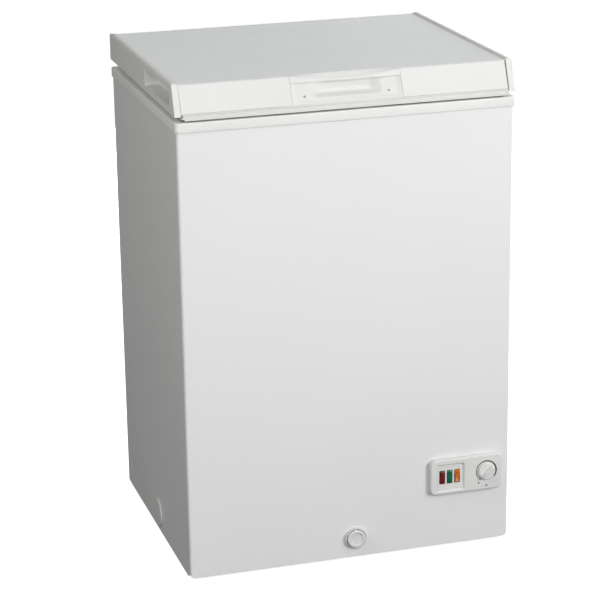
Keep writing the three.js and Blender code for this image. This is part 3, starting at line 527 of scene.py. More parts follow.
def side_panel(side, end):
    """A side sheet with a round port, and a row of upright air slots on the right one."""
    outer, inner = side * HALF, side * (HALF - SHEET)
    edge = RETURN + 0.3
    outline = [(edge, BASE), (DEPTH - edge, BASE), (DEPTH - edge, PANEL_TOP), (edge, PANEL_TOP)]
    sheet = prism("steel_" + end, outline, "X", outer, inner)
    through = (outer + side, inner - side)
    port_radius, slot_width, slot_low, slot_high = 20.4, 6, 70, 170
    cuts = [prism("port", circle(PORT_Y, PORT_Z, port_radius, 60), "X", *through)]
    if side > 0:
        for y in spread(290, 386, 7):
            slot = round_rect(y, y + slot_width, slot_low, slot_high, slot_width / 2 - 0.01, 6)
            cuts.append(prism("slot", slot, "X", *through))
    finish(boolean(sheet, cuts), "cabinet", "white_enamel", [end + "_side_panel"], 0.25, 2, 40)


def foot(end):
    """A glide with a rounded rim, on a short stem."""
    node = "foot_" + end
    at = middle(node)
    top, stem = 9.7, 4.7
    body = revolved(node + "_glide", [
        (0, 0), (16.2, 0), (17.2, 0.3), (18.7, 2.6), (19, 3.4), (19, top - 0.6), (18.4, top), (stem, top),
        (stem, top + 2), (0, top + 2)], "Z", (at.x, at.y), 48)
    finish(body, "cabinet", "black_plastic", [node])


def port_plug(side, end):
    """A blanking plug with a domed face and a coin slot."""
    node = end + "_port_plug"
    profile = [
        (0, 3.6), (6, 3.65), (17, 3.5), (20.5, 3.1), (21.5, 2.7), (22.5, 3.3), (23.4, 3.3), (24.4, 2.7),
        (25, 1.6), (25, 0.4), (20, 0.4), (20, -1), (0, -1)]
    rings = [(radius, side * (HALF + out)) for radius, out in profile]
    plug = revolved(node + "_cap", rings, "X", (PORT_Y, PORT_Z), 96)
    coin = round_rect(PORT_Y - 11, PORT_Y + 11, PORT_Z - 1.3, PORT_Z + 1.3, 1.2, 4)
    slot = prism("coin", coin, "X", side * (HALF + 2.4), side * (HALF + 5))
    finish(boolean(plug, [slot]), "cabinet", "white_plastic", [node], 0.2, 2, 35)


# ---- collar and food compartment


def collar():
    """The frame round the mouth: a skirt outside, a flat rim, and a ledge and a lip inside."""
    skirt, ledge, lip = RIM - 16, RIM - 13.5, RIM - 26
    outside = [
        (2.0, skirt), (2.25, skirt + 0.25), (2.3, skirt + 0.8), (2.3, RIM - 1.5), (2.1, RIM - 0.7),
        (1.6, RIM - 0.2), (0.8, RIM), (-6, RIM)]
    inside = [
        (6, RIM), (1.4, RIM), (0.5, RIM - 0.35), (0, RIM - 1.3), (0, ledge + 0.8), (-0.8, ledge),
        (-7.2, ledge), (-8, ledge - 0.8), (-8, lip), (-5.5, lip), (-5.5, ledge - 2.5), (2.5, ledge - 2.5),
        (2.5, RIM - 3)]
    rings = [shell_ring(*r) for r in outside] + [opening_ring(*r) for r in inside]
    rings += [shell_ring(0.3, RIM - 3), shell_ring(0.3, skirt)]
    finish(loft("rim_collar", rings, closed=True), "cabinet", "warm_plastic", ["top_collar"], angle=50)


def liner_well(name, right, inset, floor, top, fillet=9):
    """The space inside the liner out to a right wall, down to a floor with rounded edges."""
    def ring(offset, z):
        x, y, radius = OPENING_X + inset + offset, OPENING_Y + inset + offset, OPENING_R + inset + offset
        return [(u, v, z) for u, v in round_rect(-x, right + offset, MID_Y - y, MID_Y + y, radius)]

    rings = [ring(-fillet * out, floor + fillet * (1 - up)) for out, up in quarter_turn(9)]
    return loft(name, [ring(0, top)] + rings)


def food_liner():
    """The sheet liner: a full-depth well on the left and a step over the compressor on the right."""
    low, high = box_mm("inner_liner")
    inset, sheet = -5.2, 2
    wall = inset + sheet
    step_x, step_z = 60, 290
    outside = boolean(
        liner_well("steel_liner", OPENING_X + wall, wall, step_z - sheet, high.z, 4),
        [liner_well("deep", step_x + sheet, wall, low.z, step_z + 4, 4)], "UNION")
    upper = liner_well("upper_well", OPENING_X + inset, inset, step_z, high.z + 1)
    deep = liner_well("deep_well", step_x, inset, low.z + sheet, step_z + 12)
    drain = prism("drain", circle(DRAIN_X, DRAIN_TOP_Y, 7.5, 36), "Z", low.z - 5, low.z + 5)
    liner = boolean(outside, [upper, deep, drain])
    finish(liner, "cabinet", "liner_sheet", ["inner_liner"], 0.5, 2, 35)


def wire_basket():
    """A tray of welded, coated wire: level hoops, and hoops that run down, across and up again."""
    low, high = box_mm("basket")
    hook, margin = 11, 18
    x0, x1, y0, y1, z0, z1 = low.x, high.x, low.y + hook, high.y - hook, low.z, high.z
    thick, thin = 2.2, 1.3
    pieces = []

    def hoop(inset, z, radius, reach=0):
        outline = round_rect(x0 + inset, x1 - inset, y0 + inset - reach, y1 - inset + reach, margin)
        pieces.append(bar("hoop", [(x, y, z) for x, y in outline], radius, closed=True))

    hoop(thick, z1 - thick, thick, hook)
    hoop(thick + thin, z1 - 30, thin)
    for level in (z0 + 4 * thin, z0 + 50, z0 + 95, z0 + 135):
        hoop(2 * thin + 0.6, level, thin)

    def cradle(start, end, across, along_x):
        """One wire down a wall, along the floor and up the other wall."""
        top, floor, bend = z1 - 2 * thick, z0 + thin, 16
        outline = [(start, top)] + arc(start + bend, floor + bend, bend, 180, 270, 6)
        outline += arc(end - bend, floor + bend, bend, 270, 360, 6) + [(end, top)]
        points = [(u, across, z) if along_x else (across, u, z) for u, z in outline]
        pieces.append(bar("cradle", points, thin))

    for y in spread(y0 + margin, y1 - margin, 15):
        cradle(x0 + thin, x1 - thin, y, True)
    for x in spread(x0 + margin, x1 - margin, 7):
        cradle(y0 + thin, y1 - thin, x, False)
        # Short hooked wires carry the tray's long sides out over the collar's ledge.
        for y, out in ((y0 + thin, -1), (y1 - thin, 1)):
            path = [
                (x, y, z1 - 4 * thick), (x, y + out * 1.5, z1 - 2.6 * thick),
                (x, y + out * (hook - 1), z1 - 1.2 * thick)]
            pieces.append(bar("hook", path, thin))
    finish(joined("wire_basket", pieces), "basket", "coated_wire", ["basket"], angle=60)


# ---- drain

DRAIN_X, _, DRAIN_Z = middle("drain_socket")
DRAIN_TOP_Y = 95
_, PORT_Y, PORT_Z = middle("left_port_plug")


def drain_fittings():
    """The socket with its grooved rim, the cap in it, and the stopper in the liner's floor."""
    centre = (DRAIN_X, DRAIN_Z)
    socket = revolved("drain_ring", [
        (10.6, -3.9), (11, -4.3), (15.2, -4.3), (15.2, -1.8), (17.1, -1.8), (17.1, -5.9), (17.3, -6.2),
        (17.8, -6.2), (18.15, -5.9), (18.2, -5.4), (18.2, -0.3), (13.6, -0.3), (13.6, 22), (10.6, 22)],
        "Y", centre, 96, closed=True)
    finish(socket, "cabinet", "white_plastic", ["drain_socket"], angle=40)
    cap = revolved("drain_cap_moulding", [
        (0, -7.35), (5, -7.3), (9.6, -7.2), (10.4, -7.4), (11.1, -8.6), (11.7, -9.15), (14.6, -9.2),
        (15.5, -8.85), (16.0, -8.0), (16.0, -5.2), (15.6, -4.7), (10.2, -4.7), (10.2, 5.4), (9.6, 6), (0, 6)],
        "Y", centre, 96)
    finish(cap, "drain_cap", "white_plastic", ["drain_cap"], angle=40)
    low = box_mm("drain_stopper")[0].z
    profile = [
        (0, 0), (5.6, 0), (6.4, 1), (6.4, 8), (12.2, 8), (13, 8.6), (13, 10.4), (12.2, 11), (6.2, 12),
        (5.2, 12.8), (4.6, 15), (5, 18), (4.2, 19.5), (0, 19.9)]
    raised = [(radius, low + z) for radius, z in profile]
    stopper = revolved("drain_stopper_moulding", raised, "Z", (DRAIN_X, DRAIN_TOP_Y), 48)
    finish(stopper, "drain_stopper", "gray_rubber", ["drain_stopper"], angle=40)


# ---- control panel

BEZEL_LOW, BEZEL_HIGH = box_mm("control_bezel")
BEZEL = (BEZEL_LOW.x, BEZEL_HIGH.x, BEZEL_LOW.z, BEZEL_HIGH.z)
BEZEL_FACE = BEZEL_LOW.y
KNOB_X, _, KNOB_Z = middle("thermostat_knob")
WINDOW = (152.5, 198.5, 112, 157.5)
LAMP_Z = middle("red_lamp_lens").z
LENS_X, LENS_Z = 4.85, 12.1
PIN_X, PIN_Z = 205.3, 117.7


def facing_ring(box, inset_x, inset_z, radius, y, steps=6):
    """A rounded rectangle that faces the front, at a depth and inside a box's edges by the insets."""
    x0, x1, z0, z1 = box
    outline = round_rect(x0 + inset_x, x1 - inset_x, z0 + inset_z, z1 - inset_z, radius, steps)
    return [(u, y, v) for u, v in outline]


def bezel():
    """A pillow-edged moulding with a lamp window sunk into it, and holes for the knob's shaft and a pin."""
    rounding, corner = 2.2, 9
    shoulder = BEZEL_FACE + 2.0
    profile = [(1.6, -0.3), (1.6, -1.5), (0.2, -1.5), (0, -1.7), (0, shoulder)]
    profile += [(rounding * out, shoulder + (BEZEL_FACE - shoulder) * up) for out, up in quarter_turn(9)[1:]]
    block = loft("control_moulding", [
        facing_ring(BEZEL, inset, inset, corner - inset * 0.75, y, 10) for inset, y in profile])
    funnel = loft("window", [
        facing_ring(WINDOW, -grow_x, -grow_z, radius, BEZEL_FACE + deep) for grow_x, grow_z, radius, deep in (
            (3.4, 2.9, 4.4, -1), (2.6, 2.3, 3.6, 0.35), (1.9, 1.7, 3.0, 0.75), (1.4, 1.3, 2.6, 1.0),
            (0, 0, 1.6, 3.0), (0, 0, 1.6, 1 - BEZEL_FACE))])
    shaft = prism("shaft_hole", circle(KNOB_X, KNOB_Z, 4.5, 36), "Y", -12, 1)
    pin = prism("pin_hole", circle(PIN_X, PIN_Z, 0.85, 18), "Y", -12, -8.8)
    finish(boolean(block, [funnel, shaft, pin]), "cabinet", "white_plastic", ["control_bezel"], angle=24)


def lamp_plate():
    """The plate behind the window, with a hole round each lens and the rocker."""
    wx0, wx1, wz0, wz1 = WINDOW
    gap, clear = 0.1, 0.35
    half_x, half_z = LENS_X + clear, LENS_Z + clear
    outline = round_rect(wx0 + gap, wx1 - gap, wz0 + gap, wz1 - gap, 1.5, 5)
    holes = []
    for node in ("red_lamp_lens", "green_lamp_lens", "fast_freeze_rocker"):
        x = middle(node).x
        hole = round_rect(x - half_x, x + half_x, LAMP_Z - half_z, LAMP_Z + half_z, 1.8, 5)
        holes.append(prism("hole", hole, "Y", -8, -4))
    plate = boolean(prism("lamp_plate", outline, "Y", -7.2, -5.2), holes)
    finish(plate, "cabinet", "white_plastic", ["indicator_carrier"], 0.25, 2, 35)


def lamp_window(node, slot):
    """A coloured lens that stands out like a barrel, with sloping ends."""
    low, high = box_mm(node)
    rings = []
    for inset_x, inset_z, radius, y in (
            (0, 0, 2.2, high.y), (0, 0, 2.2, -7.0), (0.15, 0.3, 2.2, -7.6), (0.5, 1.2, 2.1, -8.2),
            (1.1, 2.6, 1.9, -8.75), (1.9, 4.4, 1.6, -9.05), (2.9, 6.8, 1.2, -9.2)):
        radius = min(radius, (high.x - low.x) / 2 - inset_x - 0.05)
        rings.append(facing_ring((low.x, high.x, low.z, high.z), inset_x, inset_z, radius, y, 5))
    finish(loft(node + "_moulding", rings), "cabinet", slot, [node], angle=40)


def rocker_switch():
    """The orange rocker: six-sided above its waist, straight below it, and tipped to its off side."""
    centre_x = middle("fast_freeze_rocker").x
    pivot_y, radius, tilt = -2, LENS_Z, 6
    widths = [
        (-12.1, 3.1), (-11, 3.5), (-2.4, 3.55), (-0.6, 3.2), (0.6, 3.3), (5.4, 4.7), (7.4, 4.8), (11, 4.1),
        (12.1, 3.6)]

    def half_width(z):
        for (z0, w0), (z1, w1) in zip(widths, widths[1:]):
            if z <= z1:
                return w0 + (w1 - w0) * (z - z0) / (z1 - z0)
        return widths[-1][1]

    def tipped(x, y, z):
        """A point of the level rocker, after its tilt."""
        back, up = turned(y, z, tilt)
        return (centre_x + x, pivot_y + back, LAMP_Z + up)

    def face_at(z):
        return 6 + 1.5 * abs(z) / radius

    rings = []
    for z in spread(-0.985 * radius, 0.985 * radius, 41):
        w = half_width(z)
        reach = sqrt(max(radius * radius - z * z, 0.04))
        face = min(face_at(z), reach)
        back = min(5, reach)
        half = [(w * 0.45, -face), (w * 0.86, -face * 0.985 + 0.05), (w, -max(face - 1.5, 0)), (w, back)]
        section = [(-x, y) for x, y in reversed(half)] + half
        rings.append([tipped(x, y, z) for x, y in section])
    made = loft("rocker_moulding", rings)
    finish(made, "fast_freeze_rocker", "orange_plastic", ["fast_freeze_rocker"], angle=32)
    mark_z = -6.6
    mark = [tipped(x, -face_at(mark_z) - 0.05, z) for x, z in circle(0, mark_z, 1.75, 28)]
    finish(bar("rocker_mark", mark, 0.28, closed=True), "fast_freeze_rocker", "coated_wire", angle=60)


def knob():
    """The disc, the grip across it and the pointer line at the grip's lower left end."""
    disc = revolved("knob_disc", [
        (0, -14.2), (10, -14.25), (12.8, -14.4), (13.8, -14.35), (14.6, -13.95), (15.2, -13.1), (15.3, -12.2),
        (15.3, -10.8), (14.9, -10.4), (0, -10.4)], "Y", (KNOB_X, KNOB_Z), 96)

    def on_grip(along, across, y):
        """A point at a distance along the grip, towards the pointer, and across it."""
        u, v = turned(across, -along, -45)
        return (KNOB_X + u, y, KNOB_Z + v)

    rings = []
    for s in spread(-1, 1, 25):
        end = sqrt(max(1 - (abs(s) ** 7), 0.0))
        foot_w = 3.4 * (1 - 0.12 * s) * (0.72 + 0.28 * end)
        top_w = 2.2 * (1 - 0.1 * s) * (0.6 + 0.4 * end)
        top = -14.5 - 5.4 * (0.35 + 0.65 * end) * (1 - 0.10 * max(s, 0))
        half = [
            (top_w * 0.3, top + 0.28), (top_w * 0.72, top), (top_w, top + 0.45), (foot_w * 0.93, -15.2),
            (foot_w, -13.9)]
        section = [(-w, y) for w, y in reversed(half)] + half
        rings.append([on_grip(14.8 * s, w, y) for w, y in section])
    made = boolean(disc, [loft("knob_grip", rings)], "UNION")
    made.name = "knob_moulding"
    finish(made, "thermostat_knob", "white_plastic", ["thermostat_knob"], angle=34)
    width, thick = 0.42, 0.5
    section = ((-width, 0), (width, 0), (width, thick), (-width, thick))
    spine = ((14.95, -14.0), (14.5, -17.2), (11.0, -19.0), (6.8, -19.75))
    pointer = loft("knob_pointer", [[on_grip(t, w, y + deep) for w, deep in section] for t, y in spine])
    finish(pointer, "thermostat_knob", "black_plastic", material=GREY_INK)


def dial_marks():
    """Printed marks: a wedge-shaped arc that widens clockwise, two dots, a triangle and a short tick."""
    front, back = BEZEL_FACE - 0.12, BEZEL_FACE + 0.3

    def on_dial(angle, radius):
        """A place round the knob's axis, at an angle in degrees up from the right."""
        u, v = turned(radius, 0, angle)
        return (KNOB_X + u, KNOB_Z + v)

    def printed(made, ink=INK, angle=28):
        finish(made, "cabinet", "black_plastic", material=ink, angle=angle)

    outer = 19.2
    rings = []
    for t in spread(0, 1, 61):
        (u, v), (p, q) = [on_dial(212 - 250 * t, r) for r in (outer - 0.6 - 2.7 * t ** 0.8, outer)]
        rings.append([(u, front, v), (p, front, q), (p, back, q), (u, back, v)])
    printed(loft("dial_arc", rings), angle=30)
    for name, angle, radius, size in (("dial_dot", 236, 25.2, 1.5), ("dial_start", 231, 18.6, 1.2)):
        printed(prism(name, circle(*on_dial(angle, radius), size, 24), "Y", front, back))
    x, z = on_dial(270, 26.5)
    whole = [(x - 2.6, z - 1.7), (x + 2.6, z - 1.7), (x, z + 2.2)]
    hollow = [(x - 1.25, z - 0.95), (x + 1.25, z - 0.95), (x, z + 0.75)]
    triangle = prism("dial_triangle", whole, "Y", front, back)
    printed(boolean(triangle, [prism("hollow", hollow, "Y", front - 1, back + 1)]))
    x, z = on_dial(-54, 24.6)
    tick = [(x - 1.6, z - 0.35), (x + 1.6, z + 0.5), (x + 1.5, z + 0.95), (x - 1.7, z + 0.15)]
    printed(prism("dial_tick", tick, "Y", front, back), GREY_INK)


# ---- lid

LID_TOP, CAP_TOP, SEAM = 52.5, 55, 8.8
LID_REAR = 471.7
CAP_IN, CAP_OUT = 276.6, 287
CAP_LOW = 4.5
HANDLE_X, HANDLE_REAR, HANDLE_BLOCK = 93, 28, 34
HANDLE_LIP, SET_BACK = 41.5, 3.3
CREST_Y = 17.2
SCREW_X, SCREW_Z = 71, 20.5


def slant(z):
    """The lid's front face leans back: its Y at a height above the lid's underside."""
    return -1 + (z - SEAM) * 18.2 / 42.4


def lifted(outline):
    """An outline of (Y, height above the lid's underside), at its place in the freezer."""
    return [(y, z + LID) for y, z in outline]


def fascia(end):
    """The sloping moulding beside the handle, with a rounded top edge."""
    node = "lid_front_fascia_" + end
    low, high = box_mm(node)
    flange = 21.2
    outline = filleted([
        (-1, SEAM, 0.5), (slant(LID_TOP), LID_TOP, 4.2), (flange, LID_TOP, 0), (flange, LID_TOP - 2, 0),
        (slant(49.5) + 2.8, 49.5, 0), (1.8, SEAM, 0)], 8)
    moulding = prism("fascia_" + end, lifted(outline), "X", low.x, high.x)
    finish(moulding, "lid", "white_plastic", [node], 0.35, 3, 30)


def lid_sheet():
    """The flat top, notched round the handle."""
    low, high = box_mm("lid_top_panel")
    x, notch_x, notch_y = high.x, HANDLE_X + 0.4, HANDLE_REAR + 0.4
    outline = [
        (-x, low.y), (-notch_x, low.y), (-notch_x, notch_y), (notch_x, notch_y), (notch_x, low.y), (x, low.y),
        (x, high.y), (-x, high.y)]
    sheet = prism("lid_sheet", outline, "Z", low.z, high.z)
    finish(sheet, "lid", "lid_sheet", ["lid_top_panel"], 0.5, 3, 30)


def end_cap(side, end):
    """A side moulding with a long, deep hand grip sunk into it."""
    corner_y = -1.5 + (CAP_TOP - CAP_LOW) * 15.7 / 41.5
    outline = filleted([
        (-1.5, CAP_LOW, 0.6), (corner_y, CAP_TOP, 9.5), (LID_REAR, CAP_TOP, 5),
        (LID_REAR, CAP_LOW + 4, 0.8)], 10)
    block = prism("cap_" + end, lifted(outline), "X", side * CAP_IN, side * CAP_OUT)
    boss_outline = lifted([(32, 12), (209, 12), (209, 48), (32, 48)])
    boss = prism("boss", boss_outline, "X", side * 259, side * (CAP_IN + 1))
    block = boolean(block, [boss], "UNION")
    # A long bar with one rounded edge rounds the cap's outer top edge.
    x, z = CAP_OUT - 0.02, CAP_TOP - 0.02
    section = filleted([(250, -5, 0.5), (x, -5, 0.5), (x, z, 3.8), (250, z, 0.5)], 6)
    envelope = prism("envelope", [(side * u, v + LID) for u, v in section], "Y", -20, 500)
    block = boolean(block, [envelope], "INTERSECT")
    plan = [(288.5, 31.4), (262.6, 41.7), (262, 42.6), (262, 204.2), (262.6, 205), (288.5, 205)]
    grip = prism("grip", [(side * x, y) for x, y in plan], "Z", LID + 16, LID + 44)
    softened(grip, 3.2, 5, 60)
    near, far = side * (CAP_IN - 1), side * (CAP_IN + 3.2)
    strip = [(near, -10), (far, -10), (far, 480), (near, 480)]
    step = prism("step", strip, "Z", LID + CAP_TOP - 1.2, LID + CAP_TOP + 3)
    finish(boolean(block, [as_mesh(grip), step]), "lid", "white_plastic", ["lid_end_cap_" + end], 0.7, 4, 30)


def handle_front(x, z):
    """The Y of the handle's front, set back along its whole width and hollow for the fingers."""
    recess = SET_BACK * (0.12 + 0.88 * smooth_step(HANDLE_X - abs(x), 0, 8))
    flare = recess * smooth_step(z, SEAM + 0.6, SEAM + 7)
    pocket = 11.5 * smooth_step(abs(x), 62, 40)
    hollow = pocket * smooth_step(z, 16.5, 23.5) * (1 - 0.55 * smooth_step(z, 22.0, 44.0))
    return slant(z) + flare + hollow


def handle_top(x, y):
    """The height of the handle's top, scooped out towards the front and the middle."""
    dip = 7.5 * max(0.0, 1 - (x / HANDLE_X) ** 2)
    return LID_TOP - dip * max(0.0, 1 - max(0.0, y - CREST_Y) / (HANDLE_REAR - CREST_Y))


def handle_section(x):
    """The handle's outline at an X: up the front, round the lip, over the top and down the back."""
    points = [(HANDLE_BLOCK, SEAM), (1.8, SEAM), (-0.9, SEAM)]
    points += [(handle_front(x, z), z) for z in [SEAM + 0.4] + spread(SEAM + 1.0, HANDLE_LIP - 1.6, 31)]
    inner, outer = handle_front(x, HANDLE_LIP - 1.0), slant(HANDLE_LIP + 0.9)
    for share, rise in ((0, -1.0), (0.12, -0.35), (0.5, -0.1), (0.86, 0)):
        points.append((inner + (outer - inner) * share, HANDLE_LIP + rise))
    points += [(outer - 0.15, HANDLE_LIP + 0.35), (outer, HANDLE_LIP + 1.1)]
    crest = handle_top(x, CREST_Y)
    corner = (slant(crest), crest)
    round_off = 3.6
    end_y = corner[0] + round_off * 0.95
    start, end = (slant(crest - round_off), crest - round_off), (end_y, handle_top(x, end_y))
    for t in spread(0, 1, 9):
        points.append(tuple(
            (1 - t) ** 2 * a + 2 * t * (1 - t) * b + t * t * c for a, b, c in zip(start, corner, end)))
    points += [(y, handle_top(x, y)) for y in spread(end_y, HANDLE_REAR, 11)[1:]]
    return points + [(HANDLE_REAR, 48), (HANDLE_BLOCK, 44)]


def lid_handle():
    """The pull across the middle of the lid's front: a lip, a finger pocket under it and a scooped top."""
    rings = []
    for s in spread(-1, 1, 141):
        # Sections are closer together near the two ends, where the walls of the recess stand.
        x = HANDLE_X * copysign(1 - (1 - abs(s)) ** 1.35, s)
        rings.append([(x, y, z) for y, z in lifted(handle_section(x))])
    seat = slant(SCREW_Z) + SET_BACK
    holes = [prism("screw_hole", circle(x, LID + SCREW_Z, 2.05, 24), "Y", -10, seat + 2.6)
             for x in (-SCREW_X, SCREW_X)]
    moulding = boolean(loft("handle_moulding", rings), holes)
    finish(moulding, "lid", "white_plastic", ["lid_handle"], angle=32)


def handle_screw(side, end):
    """A pan-head screw with a cross recess, seated in the handle."""
    node = "handle_screw_" + end
    x = side * SCREW_X
    seat = slant(SCREW_Z) + 5.0
    head = revolved(node + "_head", [
        (0, seat - 1.7), (0.9, seat - 1.65), (1.4, seat - 1.4), (1.7, seat - 0.9), (1.8, seat - 0.5),
        (1.8, seat), (1.1, seat), (1.1, 31), (0, 32)], "Y", (x, LID + SCREW_Z), 32)
    slots = []
    for turn in (25, 115):
        corners = [turned(u, v, turn) for u, v in ((-1.1, -0.27), (1.1, -0.27), (1.1, 0.27), (-1.1, 0.27))]
        outline = [(x + u, LID + SCREW_Z + v) for u, v in corners]
        slots.append(prism("cross", outline, "Y", seat - 3, seat - 0.8))
    finish(boolean(head, slots), "lid", "zinc_plate", [node], angle=35, material=PAINTED_SCREW)


def handle_ribs():
    """Fine raised lines in the handle that fan out round each screw."""
    ribs = []
    for side in (-1, 1):
        for turn in (38, 62, 90, 118, 142):
            points = []
            for reach in spread(6, 15, 6):
                u, v = turned(reach, 0, turn)
                z = SCREW_Z + v
                points.append((side * SCREW_X + u, slant(z) + SET_BACK + 0.05, z + LID))
            ribs.append(bar("rib", points, 0.22))
    finish(joined("handle_ribs", ribs), "lid", "white_plastic", angle=60)


def lid_rim():
    """The channel-shaped frame under the lid's edge, with a drip lip at the front."""
    x, front, rear, corner = 277, -2, 471, 6

    def edge(inset, z):
        return plan_ring(x - inset, front + inset, rear - inset, corner - min(inset, 5), LID + z)

    profile = [
        (0.5, 0), (0.12, 0.15), (0, 0.6), (0, 1.9), (0.15, 2.35), (0.6, 2.5), (3, 2.5), (3, 6), (1.2, 6),
        (0.8, 6.3), (0.7, 6.8), (0.7, 8), (1.1, 8.5), (5, 8.5), (5, 2.5)]
    rings = [edge(*r) for r in profile] + [plan_ring(216, 51, 419, 20, LID + z) for z in (2.5, 0)]
    drip_outline = [(0, 1), (0, -1.8), (0.4, -2.2), (1.6, -2.2), (2, -1.8), (2, 1)]
    drip = prism("drip", lifted([(front + y, z) for y, z in drip_outline]), "X", corner - x, x - corner)
    rim = boolean(loft("lid_rim", rings, closed=True), [drip], "UNION")
    finish(rim, "lid", "white_plastic", ["lid_frame"], angle=40)


def lid_underside():
    """The lid's moulded inner face: a ridge round a shallow sunk field with two long stiffening beads."""
    profile = [(215.7, 19.5, 2), (215.7, 19.5, 0.3), (215.4, 19.3, 0), (188, 25, 0), (186.3, 24, -0.5),
               (185.2, 23.5, -1.8)]
    profile += [(185 - 4 * out, 23 - 3 * out, -4 - 4 * up) for out, up in quarter_turn(7)]
    profile += [(158, 16, -8), (156, 15, -7.6), (153, 14, -5), (151, 13, -4.6)]
    rings = []
    for half_x, radius, z in profile:
        half_y = half_x - 32
        rings.append(plan_ring(half_x, MID_Y - half_y, MID_Y + half_y, radius, LID + z))
    beads = []
    for y in (MID_Y - 45, MID_Y + 45):
        bead = prism("bead", round_rect(-120, 120, y - 9, y + 9, 8.9), "Z", LID - 6.8, LID - 3)
        softened(bead, 2, 4, 30)
        beads.append(as_mesh(bead))
    tray = boolean(loft("lid_tray", rings), beads, "UNION")
    finish(tray, "lid", "white_plastic", ["lid_inner_liner"], angle=28)


def door_gasket():
    """A magnetic gasket: a soft bulb with a bellows fold, under the lid's frame."""
    x, front, rear, corner = 273.5, 3.5, 466.5, 10
    profile = [
        (1.5, -SEAL_DROP), (2.2, -1.4), (1.0, -2.1), (0.1, -3.0), (0.1, -4.1), (0.9, -4.7), (12.5, -4.7),
        (13.6, -4.2), (13.8, -3.2), (12.6, -2.2), (14.5, -1.2), (15.8, -SEAL_DROP)]
    rings = [plan_ring(x - inset, front + inset, rear - inset, max(corner - inset, 3), LID + z)
             for inset, z in profile]
    finish(loft("lid_seal", rings, closed=True), "lid", "gray_rubber", ["lid_gasket"], angle=60)


def rear_rail():
    """The lid's back rail, with its two rear edges rounded."""
    low, high = box_mm("lid_rear_rail")
    outline = filleted([(low.y, low.z, 0), (high.y, low.z, 1), (high.y, high.z, 2.5), (low.y, high.z, 0)], 5)
    rail = prism("lid_back_rail", outline, "X", low.x, high.x)
    finish(rail, "lid", "white_plastic", ["lid_rear_rail"], 0.3, 2, 35)


# ---- back of the freezer

BAY_LOW, BAY_HIGH = box_mm("compressor_cover")
BAY = (BAY_LOW.x + 10, BAY_HIGH.x - 10, BAY_LOW.z + 10, BAY_HIGH.z - 10)


def rear_screw(name, x, z, face, body):
    """A small hexagon screw with a washer face, on a surface that faces the back."""
    profile = [(0, face - 0.4), (5.2, face - 0.4), (5.2, face + 0.5), (4.4, face + 0.9), (0, face + 0.9)]
    head = revolved(name, profile, "Y", (x, z), 32)
    six = prism("six", arc(x, z, 3.4, 10, 310, 5), "Y", face + 0.5, face + 2.4)
    finish(boolean(head, [six], "UNION"), body, "zinc_plate", soften=0.25, segments=2, angle=35)


def bay_cover():
    """The vented cover over the compressor's bay, its screws, and the cord's gland in it."""
    low, high = BAY_LOW, BAY_HIGH
    through = (low.y - 2, high.y + 2)
    plate = prism("bay_cover", round_rect(low.x, high.x, low.z, high.z, 6, 6), "Y", low.y, high.y)
    vent_left, vent_right, vent_height = 130, 246, 7
    cuts = []
    for z in spread(62, 206, 9):
        vent = round_rect(vent_left, vent_right, z, z + vent_height, vent_height / 2 - 0.1, 6)
        cuts.append(prism("vent", vent, "Y", *through))
    gland_low, gland_high = box_mm("cable_gland")
    gland_x, _, gland_z = middle("cable_gland")
    cuts.append(prism("gland_hole", circle(gland_x, gland_z, 8.3, 36), "Y", *through))
    finish(boolean(plate, cuts), "cabinet", "galvanized_steel", ["compressor_cover"], 0.25, 2, 35)
    inset = 5.5
    for row, z in enumerate((low.z + inset, high.z - inset)):
        for column, x in enumerate((low.x + inset, high.x - inset)):
            rear_screw(f"cover_screw_{2 * row + column}", x, z, high.y, "cabinet")
    back = gland_high.y
    gland = revolved("gland_moulding", [
        (4, back - 0.4), (4.4, back), (8.4, back), (9.4, back - 0.6), (12.3, back - 4.2), (13, back - 4.9),
        (13, back - 5), (8, back - 5), (8, gland_low.y), (4, gland_low.y)], "Y", (gland_x, gland_z), 48, True)
    finish(gland, "cabinet", "black_plastic", ["cable_gland"], angle=40)


HINGE_HALF, HINGE_EAR, HINGE_BORE = 15, 3, 3.3


def hinge_bracket(end, x, y, z):
    """A plate on the cabinet with two cheeks that hold the pin."""
    node = "hinge_bracket_" + end
    low, high = box_mm(node)
    face, foot_z, top, upright_y = low.y, 700, 765, 473.3
    plate = prism("bracket_" + end, round_rect(low.x, high.x, low.z, top, 3, 5), "Y", face, face + 3)
    outline = [
        (face + 1, foot_z), (face + 8, foot_z + 6), (y + 7, z), (upright_y, z), (upright_y, top + 3),
        (face + 1, top - 1)]
    cheeks = []
    for way in (-1, 1):
        edges = (x + way * (HINGE_HALF + 0.3), x + way * (HINGE_HALF + HINGE_EAR))
        cheeks.append(prism("cheek", outline, "X", *edges))
        cheeks.append(prism("eye", circle(y, z, 8, 48), "X", *edges))
    hole = prism("bore", circle(y, z, HINGE_BORE, 36), "X", x - 30, x + 30)
    bracket = boolean(boolean(plate, cheeks, "UNION"), [hole])
    finish(bracket, "cabinet", "zinc_plate", [node], 0.35, 2, 35)
    for i, height in enumerate((foot_z, top - 13)):
        rear_screw(f"bracket_screw_{end}_{i}", x, height, face + 3, "cabinet")


